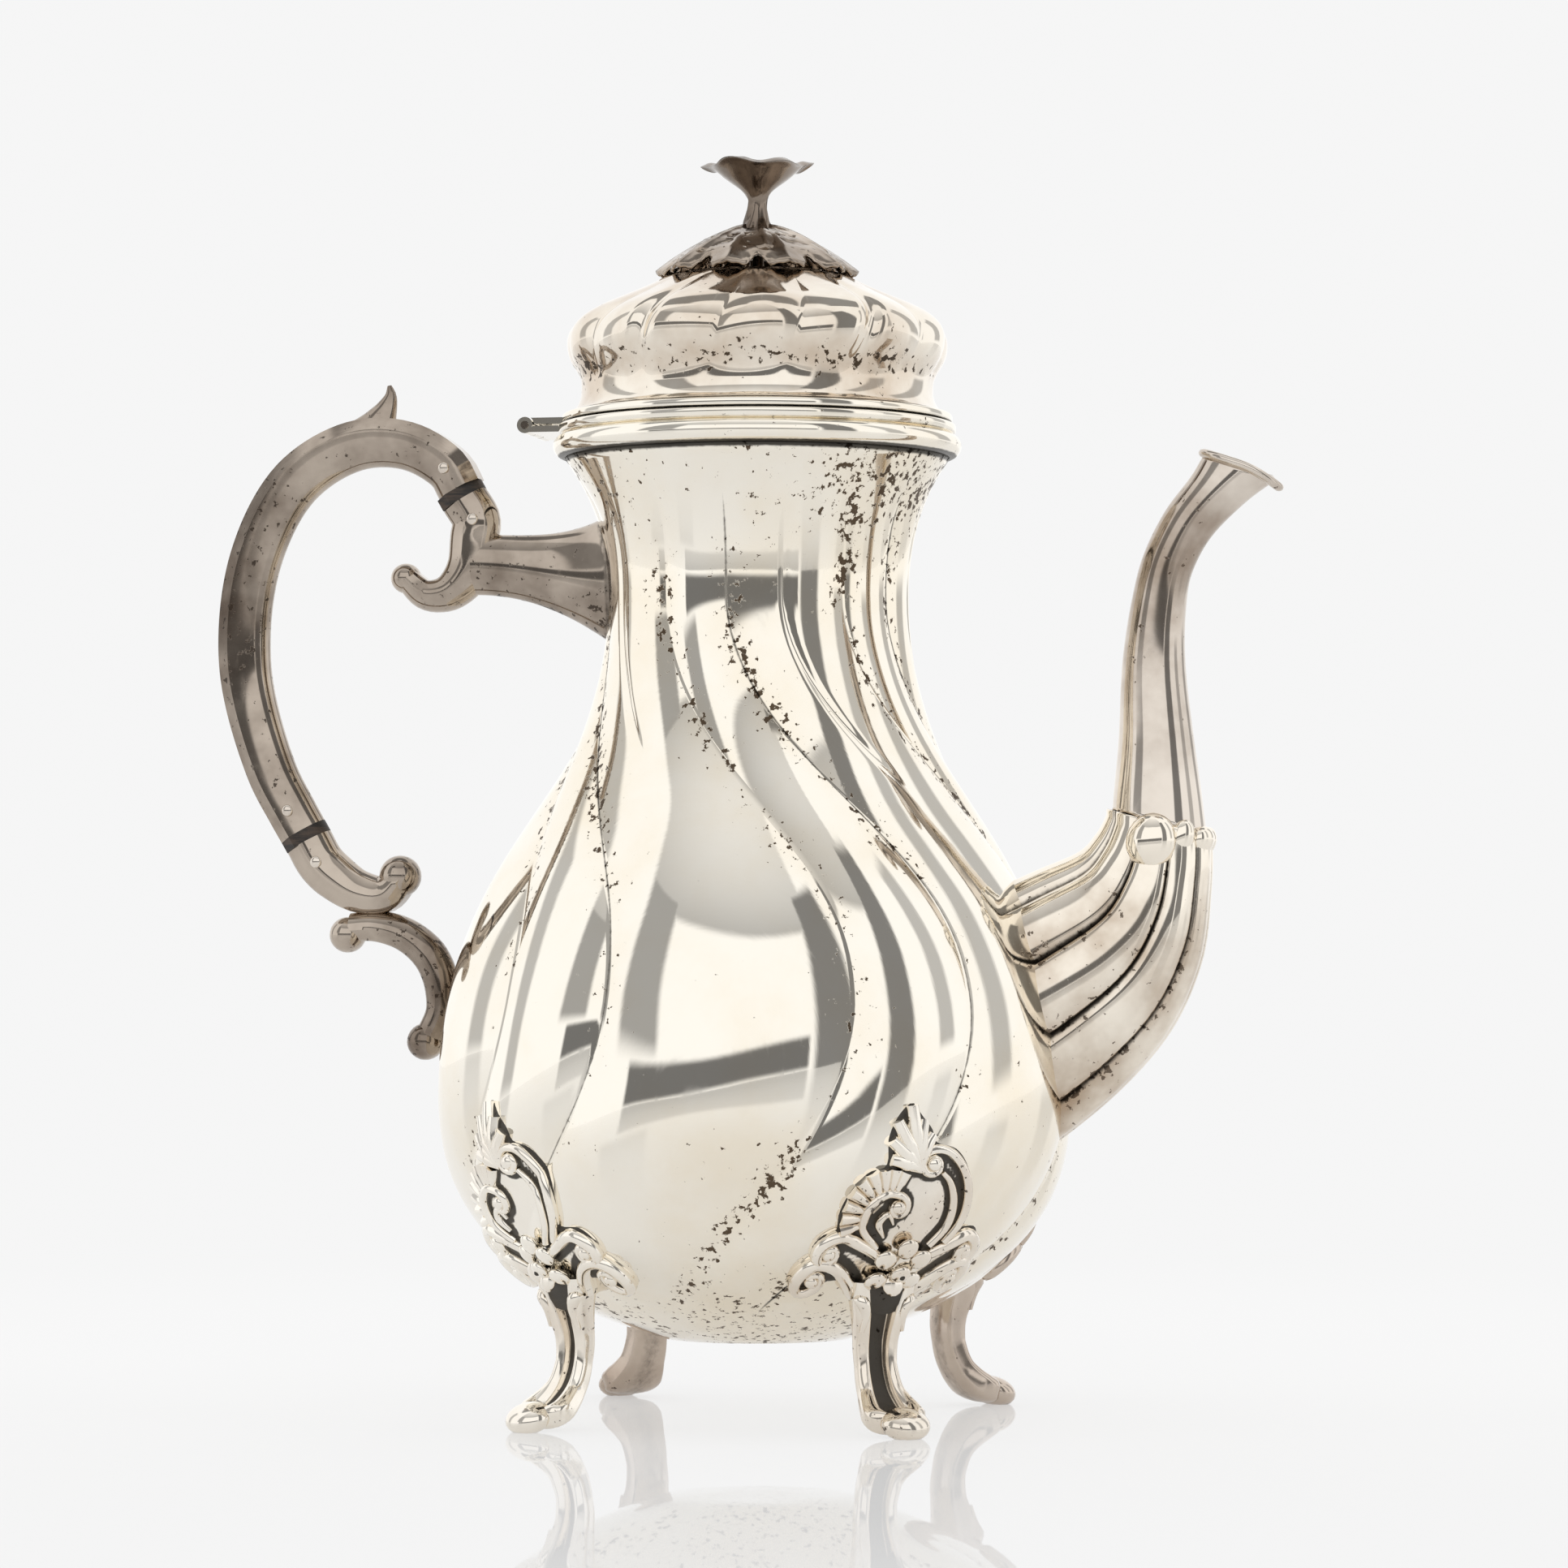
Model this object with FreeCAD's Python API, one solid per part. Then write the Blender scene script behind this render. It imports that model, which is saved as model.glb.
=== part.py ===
"""A swirl-fluted silver coffee pot on four feet, with a hinged lid and a pinned scroll handle.

Millimetres, +Z up, the spout towards +X, the handle towards -X.
Everything is drawn about the pot's upright axis and moved sideways on export,
so that the frame's origin is the middle of the footprint on the table.
"""
import math
import os

import FreeCAD
import Part
from FreeCAD import Vector

# Vessel: radius and height of each named level, and how far the curve runs straight from it
base_radius = 20.0
base_height = 16.5
belly_radius = 66.1
belly_height = 68.0
neck_radius = 31.5
neck_height = 169.0
mouth_radius = 40.0
mouth_height = 198.5
base_run = 34.0
base_rise = 10.2
belly_run_down = 26.0
belly_run_up = 51.0
neck_run_down = 44.6
neck_run_up = 12.0
mouth_run = 6.0
mouth_drop = 8.6
wall = 0.8
bowl_bands = 8
shoulder_bands = 11
flare_bands = 4

# Flutes: five pairs of a broad panel and a narrow lobe, swirling up the vessel
flute_count = 5
flute_depth = 2.4
broad_angle = 47.0
lobe_share = 0.3
flute_start = -78.5
swirl_low = 24.0
swirl_middle = 88.0
swirl_turn = 43.2
swirl_back = 55.2
swirl_low_power = 1.9
swirl_high_power = 1.25
flute_fade_low = 14.0
flute_fade_high = 16.0

# Mouth moulding
rim_height = 7.0
rim_bead_height = 5.2
rim_radius = 42.5
rim_step_radius = 41.3
rim_bore = 38.2

# Lid
parting_gap = 0.3
flange_radius = 40.6
flange_height = 1.8
bezel_depth = 4.0
bezel_wall = 1.0
bezel_clearance = 0.5
scotia_radius = 36.6
scotia_height = 6.3
bulge_radius = 40.4
bulge_height = 17.2
lid_top_radius = 19.0
lid_top_height = 30.6
lid_flute_depth = 1.5
lid_lead = 5.0
lid_swirl = 14.0
lid_bands = 5

# Finial: leaf rosette, stemmed flower, washer and nut under the lid
leaf_radius = 20.6
leaf_height = 10.2
leaf_edge_radius = 19.4
leaf_edge_rise = 2.2
leaf_bend_radius = 14.0
leaf_bend_rise = 6.3
leaf_crown_radius = 4.5
leaf_count = 8
leaf_notch = 4.4
stem_radius = 2.0
stem_height = 6.8
flower_radius = 11.7
flower_height = 7.2
cup_radius = 5.0
cup_rise = 3.2
cup_floor = 2.2
petal_wall = 1.2
petal_count = 6
petal_notch = 3.0
stud_radius = 1.6
stud_clearance = 0.05
washer_radius = 6.0
washer_height = 1.0
nut_radius = 4.0
nut_height = 3.0
stud_tail = 1.2

# Hinge at the back of the mouth
hinge_reach = 47.5
knuckle_radius = 1.7
pin_radius = 0.8
pin_clearance = 0.05
knuckle_length = 6.0
knuckle_gap = 0.25
leaf_plate = 1.3
leaf_gap = 0.4
pin_overhang = 0.4

# Handle grip, insulators and their pins; paths are (x, z) points in the handle's plane
grip_path = (
    (-63.7, 193.1),
    (-75.0, 202.5),
    (-86.5, 202.6),
    (-99.4, 195.0),
    (-108.2, 178.5),
    (-110.3, 156.3),
    (-104.7, 134.8),
    (-97.5, 121.4),
)
grip_end_slope = 60.0
path_lead = 5.0
grip_width = 10.6
grip_depth = 10.0
grip_end_width = 9.9
grip_end_depth = 9.4
grip_ridge = 0.5
grip_bands = 18
spur_x = -81.0
spur_z = 206.0
spur_length = 9.2
spur_lean = 1.6
spur_base = 9.4
spur_waist = 4.7
spur_waist_share = 0.55
spur_tip = 1.6
spur_width = 5.0
insulator_height = 2.5
spigot_radius = 2.2
spigot_length = 8.0
spigot_clearance = 0.05
handle_pin_radius = 1.0
handle_pin_setback = 5.0
handle_pin_length = 8.8

# Scrolls that carry the handle: the upper socket and its flared stem, the lower socket and bracket
upper_scroll_path = ((-60.4, 183.0), (-61.6, 176.0), (-66.0, 171.4), (-71.0, 171.0), (-74.9, 174.1))
lower_scroll_path = ((-90.6, 111.9), (-85.5, 108.8), (-80.0, 108.2), (-76.4, 111.6))
bracket_path = (
    (-87.0, 101.2),
    (-81.4, 101.4),
    (-75.3, 99.7),
    (-70.0, 95.4),
    (-67.4, 89.6),
    (-67.2, 83.6),
    (-69.6, 78.6),
)
scroll_tail_width = 5.4
scroll_ridge = 0.25
scroll_bands = 9
upper_ball_radius = 3.2
upper_ball_depth = 8.0
socket_ball_radius = 4.4
socket_ball_depth = 9.6
bracket_width = 6.6
bracket_depth = 8.6
bracket_ball_radius = 3.9
bracket_ball_depth = 9.0
bracket_ball_set = 1.5
stem_reach = 59.0
stem_tip_z = 177.3
stem_tip_height = 12.8
stem_tip_depth = 8.8
stem_root_drop = 24.6
stem_root_height = 33.0
stem_root_depth = 18.0
stem_root_sink = 2.5
stem_flare = 2.6
stem_bands = 7

# Spout: a lobed sheath, a plain neck and a beaded lip; a station is x, z, tilt, height and width
spout_wall = 1.2
sheath_lobes = 10
sheath_lobe_rise = 1.6
seam = (84.0, 122.6, 75.0)
seam_height = 22.4
seam_width = 21.6
sheath_stations = (
    (50.0, 79.0, 12.0, 57.0, 37.0),
    (66.6, 89.7, 18.6, 50.0, 34.0),
    (76.4, 97.6, 25.0, 42.9, 30.0),
    (81.8, 107.1, 39.0, 34.7, 26.0),
    (83.8, 116.1, 54.0, 27.0, 23.0),
)
neck_seam_height = 20.0
neck_seam_width = 19.4
neck_stations = (
    (83.4, 138.7, 90.0, 15.7, 16.2),
    (82.9, 155.2, 89.0, 13.0, 13.6),
    (84.0, 167.5, 80.0, 11.3, 12.0),
    (86.3, 176.8, 66.0, 10.7, 11.0),
    (90.2, 183.9, 61.0, 11.0, 10.4),
    (96.4, 190.8, 66.0, 12.7, 10.0),
)
spout_tip = (100.6, 195.0, 71.0)
tip_length = 15.8
tip_width = 9.6
lip_height = 3.0
lip_bead = 1.2
lip_edge_bead = 0.5
lip_bead_low = 0.4
lip_bead_high = 0.8
strainer_hole_radius = 2.7
strainer_ring_radius = 8.5
strainer_hole_count = 6
strainer_height = 84.0

# Feet
front_right_angle = -48.0
front_left_angle = -131.0
back_left_angle = 132.0
back_right_angle = 41.0
foot_path = ((49.5, 34.0), (47.0, 26.0), (45.6, 16.5), (48.0, 8.4), (53.6, 3.3), (59.0, 2.7))
foot_bands = 10
foot_knee_width = 15.0
foot_ankle_width = 9.7
foot_toe_width = 13.0
foot_knee_depth = 9.0
foot_ankle_depth = 5.6
foot_toe_depth = 6.4
foot_ridge = 0.3
shield_rise = 1.4
shield_low = 29.0
shield_high = 66.0
shield_width = 36.0
shield_shoulder_width = 26.0
boss_radius = 6.4
boss_top_radius = 4.5
boss_rise = 1.6
boss_height = 35.0
boss_place = 55.5

# The middle of the footprint lies this far from the vessel's axis, towards the handle
footprint_shift = 2.8

# Share of a ridged section's depth that its flat back takes
back_share = 0.55

UP = Vector(0, 0, 1)
ORIGIN = Vector(0, 0, 0)


def polar(radius, degrees, z):
    """A point at a radius and an angle about the vessel's axis."""
    angle = math.radians(degrees)
    return Vector(radius * math.cos(angle), radius * math.sin(angle), z)


def clamp(value):
    return max(0.0, min(1.0, value))


def ease(value):
    """Smooth step from 0 to 1."""
    t = clamp(value)
    return t * t * (3 - 2 * t)


def curve(*points):
    """A Bezier curve through the first and last of some (radius, height) points."""
    bezier = Part.BezierCurve()
    bezier.setPoles([Vector(r, 0, z) for r, z in points])
    return bezier


def turned(points):
    """A solid turned about the axis from a closed outline of (radius, height) points."""
    outline = Part.makePolygon([Vector(r, 0, z) for r, z in points + points[:1]])
    return Part.Face(outline).revolve(ORIGIN, UP, 360)


def loft(rings):
    """A solid with straight rulings from each closed ring to the next."""
    return Part.makeLoft(rings, True, True)


def vessel_levels():
    """(radius, height) pairs up the vessel's side, from the base to the mouth."""
    bowl = curve(
        (base_radius, base_height),
        (base_radius + base_run, base_height + base_rise),
        (belly_radius, belly_height - belly_run_down),
        (belly_radius, belly_height),
    )
    shoulder = curve(
        (belly_radius, belly_height),
        (belly_radius, belly_height + belly_run_up),
        (neck_radius, neck_height - neck_run_down),
        (neck_radius, neck_height),
    )
    flare = curve(
        (neck_radius, neck_height),
        (neck_radius, neck_height + neck_run_up),
        (mouth_radius - mouth_run, mouth_height - mouth_drop),
        (mouth_radius, mouth_height),
    )
    levels = [(base_radius, base_height)]
    for part, bands in ((bowl, bowl_bands), (shoulder, shoulder_bands), (flare, flare_bands)):
        for i in range(bands):
            point = part.value((i + 1) / bands)
            levels.append((point.x, point.z))
    return levels


def vessel_crease(z):
    """Angle of a flute's crease at a height: it turns out over the belly and back up the neck."""
    if z < swirl_middle:
        down = clamp((swirl_middle - z) / (swirl_middle - swirl_low))
        return flute_start + swirl_turn * (1 - down ** swirl_low_power)
    up = clamp((z - swirl_middle) / (neck_height - swirl_middle))
    return flute_start + swirl_turn - swirl_back * math.sin(math.pi / 2 * up ** swirl_high_power) ** 2


def vessel_flute(radius, z):
    """Depth of the creases at a height: in scale with the radius, dying out at both ends."""
    low = ease((z - base_height) / flute_fade_low)
    high = ease((mouth_height - z) / flute_fade_high)
    return flute_depth * radius / belly_radius * low * high


def fluted_ring(radius, z, depth, crease):
    """A closed ring of broad panels and narrow lobes, as arcs that meet in creases."""
    period = 360 / flute_count
    edges = []
    for k in range(flute_count):
        first = crease + k * period
        second = first + broad_angle
        third = first + period
        crown = (first + second) / 2
        lobe = (second + third) / 2
        valley = radius - depth
        lobe_radius = radius - lobe_share * depth
        edges.append(Part.Arc(polar(valley, first, z), polar(radius, crown, z), polar(valley, second, z)))
        edges.append(Part.Arc(polar(valley, second, z), polar(lobe_radius, lobe, z), polar(valley, third, z)))
    return Part.Wire([edge.toShape() for edge in edges])


def inset(levels):
    """The same levels moved one wall inwards, square to the side's slope."""
    inner = []
    for i, (radius, z) in enumerate(levels):
        before = levels[max(i - 1, 0)]
        after = levels[min(i + 1, len(levels) - 1)]
        run = after[0] - before[0]
        rise = after[1] - before[1]
        slant = math.hypot(run, rise)
        inner.append((radius - wall * rise / slant, z + wall * run / slant))
    return inner


def vessel_solid(levels):
    """A filled fluted solid through the vessel's levels."""
    rings = []
    for radius, z in levels:
        rings.append(fluted_ring(radius, z, vessel_flute(radius, z), vessel_crease(z)))
    return loft(rings)


def path_frames(points, bands, start=None, end=None):
    """Centres and directions at even steps along a smooth path in the XZ plane.

    A start or end direction holds for a short lead from that end.
    """
    places = [Vector(x, 0, z) for x, z in points]
    if start:
        places.insert(1, places[0] + start * path_lead)
    if end:
        places.insert(-1, places[-1] - end * path_lead)
    path = Part.BSplineCurve()
    path.interpolate(places)
    frames = []
    for centre in path.discretize(Number=bands + 1):
        frames.append([centre, path.tangent(path.parameter(centre))[0]])
    frames[0][1] = start or frames[0][1]
    frames[-1][1] = end or frames[-1][1]
    return frames


def quarter(start, corner, end):
    """A quarter of an oval from one axis to the other, round a corner of its frame."""
    bezier = Part.BezierCurve()
    round_share = 0.5523
    bezier.setPoles([start, start + (corner - start) * round_share, end + (corner - end) * round_share, end])
    return bezier.toShape()


def oval(centre, up, side):
    """A closed oval of four quarters about a centre, from its two half axes."""
    tops = [centre + up, centre + side, centre - up, centre - side]
    corners = [centre + up + side, centre + side - up, centre - up - side, centre - side + up]
    return Part.Wire([quarter(tops[k], corners[k], tops[(k + 1) % 4]) for k in range(4)])


def ridged_oval(centre, along, width, depth, ridge):
    """A section across a path: round in front, with a ridge on each side of a flat back."""
    front = Vector(-along.z, 0, along.x) * (width / 2)
    side = Vector(0, depth / 2, 0)
    left = centre - front * ridge + side
    right = centre - front * ridge - side
    crown = centre + front
    back_left = centre - front + side * back_share
    back_right = centre - front - side * back_share
    return Part.Wire([
        quarter(left, crown + side, crown),
        quarter(crown, crown - side, right),
        Part.makeLine(right, back_right),
        Part.makeLine(back_right, back_left),
        Part.makeLine(back_left, left),
    ])


def between(values, share):
    """The value at a share of the way along an even list."""
    place = share * (len(values) - 1)
    k = min(int(place), len(values) - 2)
    return values[k] + (values[k + 1] - values[k]) * (place - k)


def bar(frames, widths, depths, ridge):
    """A solid along a path, its section running evenly between the given widths and depths."""
    last = len(frames) - 1
    sections = []
    for i, (centre, along) in enumerate(frames):
        share = i / last
        sections.append(ridged_oval(centre, along, between(widths, share), between(depths, share), ridge))
    return loft(sections)


def volute_ball(x, z, radius, depth):
    """The rounded boss at a scroll's end, turned about Y."""
    chamfer = radius / 3
    flat = depth / 2 - chamfer
    barrel = Part.makeCylinder(radius, 2 * flat, Vector(x, -flat, z), Vector(0, 1, 0))
    near = Part.makeCone(radius, radius - chamfer, chamfer, Vector(x, flat, z), Vector(0, 1, 0))
    far = Part.makeCone(radius, radius - chamfer, chamfer, Vector(x, -flat, z), Vector(0, -1, 0))
    return barrel.fuse([near, far])


def cross_pin(centre, radius, length):
    """A pin through the handle from side to side, centred on a point."""
    return Part.makeCylinder(radius, length, centre - Vector(0, length / 2, 0), Vector(0, 1, 0))


def largest(shape):
    """The biggest solid that a cut leaves."""
    return max(shape.Solids, key=lambda solid: solid.Volume)


def ring(inner, outer, low, high):
    return turned([(inner, low), (outer, low), (outer, high), (inner, high)])


# Heights that follow from the sizes above
rim_top = mouth_height + rim_height
lid_base = rim_top + parting_gap
dome_base = lid_base + flange_height
lid_top = lid_base + lid_top_height
leaf_top = lid_top + leaf_height
stem_top = leaf_top + stem_height
hinge_z = rim_top + parting_gap / 2
bezel_radius = rim_bore - bezel_clearance


def mouth_rim_solid():
    """The moulding round the mouth: a half-round bead under a plain step."""
    bead_top = mouth_height + rim_bead_height
    corners = [
        Vector(mouth_radius, 0, bead_top),
        Vector(rim_step_radius, 0, bead_top),
        Vector(rim_step_radius, 0, rim_top),
        Vector(0, 0, rim_top),
        Vector(0, 0, mouth_height),
        Vector(mouth_radius, 0, mouth_height),
    ]
    bead = Part.Arc(corners[-1], Vector(rim_radius, 0, (mouth_height + bead_top) / 2), corners[0])
    outline = Part.Wire([bead.toShape()] + Part.makePolygon(corners).Edges)
    return Part.Face(outline).revolve(ORIGIN, UP, 360)


def lid_levels():
    """(radius, height) pairs up the lid: a hollow moulding, a full bulge and a flattened shoulder."""
    foot = flange_radius - wall
    scotia = lid_base + scotia_height
    bulge = lid_base + bulge_height
    hollow = curve(
        (foot, dome_base),
        ((foot + scotia_radius) / 2, dome_base),
        (scotia_radius, (dome_base + scotia) / 2),
        (scotia_radius, scotia),
    )
    swell = curve(
        (scotia_radius, scotia),
        (scotia_radius, (scotia + bulge) / 2),
        (bulge_radius, (scotia + bulge) / 2),
        (bulge_radius, bulge),
    )
    shoulder = curve(
        (bulge_radius, bulge),
        (bulge_radius, (bulge + lid_top) / 2),
        ((bulge_radius + lid_top_radius) / 2, (bulge + lid_top) / 2 + wall),
        (lid_top_radius, lid_top),
    )
    levels = [(foot, dome_base)]
    for part in (hollow, swell, shoulder):
        for i in range(lid_bands):
            point = part.value((i + 1) / lid_bands)
            levels.append((point.x, point.z))
    return levels


def lid_flute(z):
    """Depth of the lid's creases: full on the bulge and none at the foot and the top."""
    low = ease((z - dome_base) / (bulge_height - flange_height))
    high = ease((lid_top - z) / (lid_top_height - bulge_height))
    return lid_flute_depth * low * high


def lid_solid(levels):
    """A filled fluted solid through the lid's levels."""
    rings = []
    for radius, z in levels:
        crease = flute_start + lid_lead + lid_swirl * (z - dome_base) / (lid_top - dome_base)
        rings.append(fluted_ring(radius, z, lid_flute(z), crease))
    return loft(rings)


def lid_dome_solid():
    """The lid's hollow fluted dome, with a hole for the finial's stud."""
    levels = lid_levels()
    stud_hole = Part.makeCylinder(stud_radius + stud_clearance, lid_top, ORIGIN, UP)
    return lid_solid(levels).cut([lid_solid(inset(levels)), stud_hole])


def finial_leaves_solid():
    """The rosette of leaves under the flower: a low dome with a scalloped edge and a stud hole."""
    hole = stud_radius + stud_clearance
    dome = turned([
        (hole, lid_top),
        (leaf_radius, lid_top),
        (leaf_edge_radius, lid_top + leaf_edge_rise),
        (leaf_bend_radius, lid_top + leaf_bend_rise),
        (leaf_crown_radius, leaf_top),
        (hole, leaf_top),
    ])
    notches = []
    for k in range(leaf_count):
        spot = polar(leaf_radius + leaf_notch / 4, k * 360 / leaf_count, lid_top)
        notches.append(Part.makeCylinder(leaf_notch / 2, leaf_height, spot, UP))
    return dome.cut(notches)


def finial_flower_solid():
    """The open flower on its stem, with the stud that holds it to the lid."""
    stud_end = lid_top - wall - washer_height - nut_height - stud_tail
    top = stem_top + flower_height
    flower = turned([
        (0, stud_end),
        (stud_radius, stud_end),
        (stud_radius, leaf_top),
        (stem_radius, leaf_top),
        (stem_radius, stem_top),
        (cup_radius, stem_top + cup_rise),
        (flower_radius, top - petal_wall),
        (flower_radius - petal_wall, top),
        (cup_radius - petal_wall / 2, stem_top + cup_rise + petal_wall),
        (0, stem_top + cup_floor + petal_wall),
    ])
    notches = []
    for k in range(petal_count):
        spot = polar(flower_radius + petal_notch / 4, (k + 0.5) * 360 / petal_count, stem_top)
        notches.append(Part.makeCylinder(petal_notch / 2, flower_height, spot, UP))
    return flower.cut(notches)


def finial_nut_solid(low, high):
    """A six-sided nut on the stud."""
    corners = [polar(nut_radius, k * 60, low) for k in range(7)]
    prism = Part.Face(Part.makePolygon(corners)).extrude(Vector(0, 0, high - low))
    return prism.cut(Part.makeCylinder(stud_radius + stud_clearance, high, ORIGIN, UP))


def hinge_barrel(radius, low, high):
    """A cylinder on the hinge's axis between two places along Y."""
    return Part.makeCylinder(radius, high - low, Vector(-hinge_reach, low, hinge_z), Vector(0, 1, 0))


def hinge_leaves(rim, flange):
    """The pot's leaf with two outer knuckles, and the lid's leaf with the middle one."""
    middle = knuckle_length / 2
    inner = middle + knuckle_gap
    outer = inner + knuckle_length
    bore = hinge_barrel(pin_radius + pin_clearance, -2 * outer, 2 * outer)
    free = knuckle_radius + knuckle_gap
    low_plate = Part.makeBox(
        hinge_reach, 2 * outer, leaf_plate,
        Vector(-hinge_reach, -outer, hinge_z - leaf_gap / 2 - leaf_plate),
    )
    high_plate = Part.makeBox(
        hinge_reach, 2 * outer, leaf_plate,
        Vector(-hinge_reach, -outer, hinge_z + leaf_gap / 2),
    )
    knuckles = [hinge_barrel(knuckle_radius, -outer, -inner), hinge_barrel(knuckle_radius, inner, outer)]
    pot_leaf = low_plate.cut(hinge_barrel(free, -inner, inner)).fuse(knuckles).cut([bore, rim])
    reliefs = [hinge_barrel(free, -outer, -middle), hinge_barrel(free, middle, outer)]
    lid_leaf = high_plate.cut(reliefs).fuse(hinge_barrel(knuckle_radius, -middle, middle)).cut([bore, flange])
    pin = hinge_barrel(pin_radius, -outer - pin_overhang, outer + pin_overhang)
    return pot_leaf, lid_leaf, pin


def insulator(end, away):
    """A disc between the grip and a socket with a spigot into each, and where its two pins cross."""
    face = Part.Face(ridged_oval(end, away, grip_end_width, grip_end_depth, grip_ridge))
    far = end + away * insulator_height
    into_socket = Part.makeCylinder(spigot_radius, spigot_length, far, away)
    into_grip = Part.makeCylinder(spigot_radius, spigot_length, end, away * -1)
    solid = face.extrude(away * insulator_height).fuse([into_socket, into_grip])
    return solid, [end - away * handle_pin_setback, far + away * handle_pin_setback]


def spigot_hole(end, inward):
    length = spigot_length + spigot_clearance
    return Part.makeCylinder(spigot_radius + spigot_clearance, length, end, inward)


def grip_solid(frames):
    """The C-shaped grip with its thumb spur."""
    widths = [grip_end_width, grip_width, grip_width, grip_end_width]
    depths = [grip_end_depth, grip_depth, grip_depth, grip_end_depth]
    spur_steps = ((0.0, spur_base), (spur_waist_share, spur_waist), (1.0, spur_tip))
    rings = []
    for share, size in spur_steps:
        centre = Vector(spur_x + spur_lean * share, 0, spur_z + spur_length * share)
        rings.append(ridged_oval(centre, UP, size, size * spur_width / spur_base, 0.0))
    return bar(frames, widths, depths, grip_ridge).fuse(loft(rings))


def trumpet_solid():
    """The flared stem from the neck to the upper socket."""
    rings = []
    for i in range(stem_bands + 1):
        share = i / stem_bands
        flare = share ** stem_flare
        height = stem_tip_height + (stem_root_height - stem_tip_height) * flare
        depth = stem_tip_depth + (stem_root_depth - stem_tip_depth) * flare
        x = -stem_reach + (stem_reach - neck_radius + stem_root_sink) * share
        z = stem_tip_z + (mouth_height - stem_root_drop - stem_tip_z) * ease(share)
        rings.append(oval(Vector(x, 0, z), Vector(0, 0, height / 2), Vector(0, depth / 2, 0)))
    return loft(rings)


def station_axes(station):
    """The middle of a spout station and its upward and sideways half axes."""
    x, z, tilt, height, width = station
    angle = math.radians(tilt)
    up = Vector(-math.sin(angle), 0, math.cos(angle)) * (height / 2)
    return Vector(x, 0, z), up, Vector(0, width / 2, 0)


def spout_ring(station, inset):
    """A plain oval across the spout at a station, drawn in by an inset."""
    x, z, tilt, height, width = station
    return oval(*station_axes((x, z, tilt, height - 2 * inset, width - 2 * inset)))


def lobed_ring(station):
    """A ring of convex lobes across the sheath at a station."""
    centre, up, side = station_axes(station)
    valley = 1 - 2 * sheath_lobe_rise / station[4]
    step = 2 * math.pi / sheath_lobes

    def spot(turn, share):
        return centre + up * (math.cos(turn) * share) + side * (math.sin(turn) * share)

    edges = []
    for k in range(sheath_lobes):
        first = spot((k - 0.5) * step, valley)
        second = spot((k + 0.5) * step, valley)
        edges.append(Part.Arc(first, spot(k * step, 1), second).toShape())
    return Part.Wire(edges)


def foot_solid(angle, skin, shell):
    """A cabriole leg with a shield-shaped plate and a flower boss on the belly, cut to the vessel."""
    frames = path_frames(foot_path, foot_bands)
    leg = bar(
        frames,
        [foot_knee_depth, foot_ankle_depth, foot_toe_depth],
        [foot_knee_width, foot_ankle_width, foot_toe_width],
        foot_ridge,
    )
    middle = (shield_low + shield_high) / 2
    low_left = Vector(0, -shield_width / 2, shield_low)
    low_right = Vector(0, shield_width / 2, shield_low)
    tip = Vector(0, 0, shield_high)
    outline = Part.Wire([
        Part.makeLine(low_left, low_right),
        Part.Arc(low_right, Vector(0, shield_shoulder_width / 2, middle), tip).toShape(),
        Part.Arc(tip, Vector(0, -shield_shoulder_width / 2, middle), low_left).toShape(),
    ])
    shield = Part.Face(outline).extrude(Vector(2 * belly_radius, 0, 0)).common(shell)
    boss_axis = Vector(1, 0, -1).normalize()
    boss_root = Vector(boss_place, 0, boss_height) - boss_axis * boss_rise
    boss = Part.makeCone(boss_radius, boss_top_radius, 2 * boss_rise + shield_rise, boss_root, boss_axis)
    below = Part.makeBox(4 * belly_radius, 4 * belly_radius, belly_height)
    below.translate(Vector(-2 * belly_radius, -2 * belly_radius, -belly_height))
    solid = leg.fuse([shield, boss]).cut(below)
    solid.rotate(ORIGIN, UP, angle)
    return solid.cut(skin)


def vessel_pieces(skin):
    """The vessel with its strainer holes, and the moulding round its mouth."""
    holes = []
    for k in range(strainer_hole_count):
        turn = math.radians(k * 360 / strainer_hole_count)
        holes.append((strainer_ring_radius * math.cos(turn), strainer_ring_radius * math.sin(turn)))
    holes.append((0.0, 0.0))
    cuts = [vessel_solid(inset(vessel_levels()))]
    for y, z in holes:
        start = Vector(neck_radius, y, strainer_height + z)
        cuts.append(Part.makeCylinder(strainer_hole_radius, belly_radius, start, Vector(1, 0, 0)))
    rim_bore_cut = Part.makeCylinder(rim_bore, 2 * rim_height, Vector(0, 0, mouth_height - rim_height), UP)
    return {
        "body_vessel": skin.cut(cuts),
        "mouth_rim": mouth_rim_solid().cut(rim_bore_cut),
    }


def lid_pieces():
    """The lid's dome, flange and bezel, and the finial with its washer and nut."""
    under = lid_top - wall
    hole = stud_radius + stud_clearance
    return {
        "lid_dome": lid_dome_solid(),
        "lid_flange": ring(bezel_radius, flange_radius, lid_base, dome_base),
        "lid_bezel": ring(bezel_radius - bezel_wall, bezel_radius, lid_base - bezel_depth, dome_base),
        "finial_leaves": finial_leaves_solid(),
        "finial_flower": finial_flower_solid(),
        "finial_washer": ring(hole, washer_radius, under - washer_height, under),
        "finial_nut": finial_nut_solid(under - washer_height - nut_height, under - washer_height),
    }


def hinge_pieces():
    flange_low = Vector(0, 0, lid_base - flange_height / 2)
    flange = Part.makeCylinder(flange_radius, 2 * flange_height, flange_low, UP)
    pot_leaf, lid_leaf, pin = hinge_leaves(mouth_rim_solid(), flange)
    return {"hinge_pot_leaf": pot_leaf, "hinge_lid_leaf": lid_leaf, "hinge_pin": pin}


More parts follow.
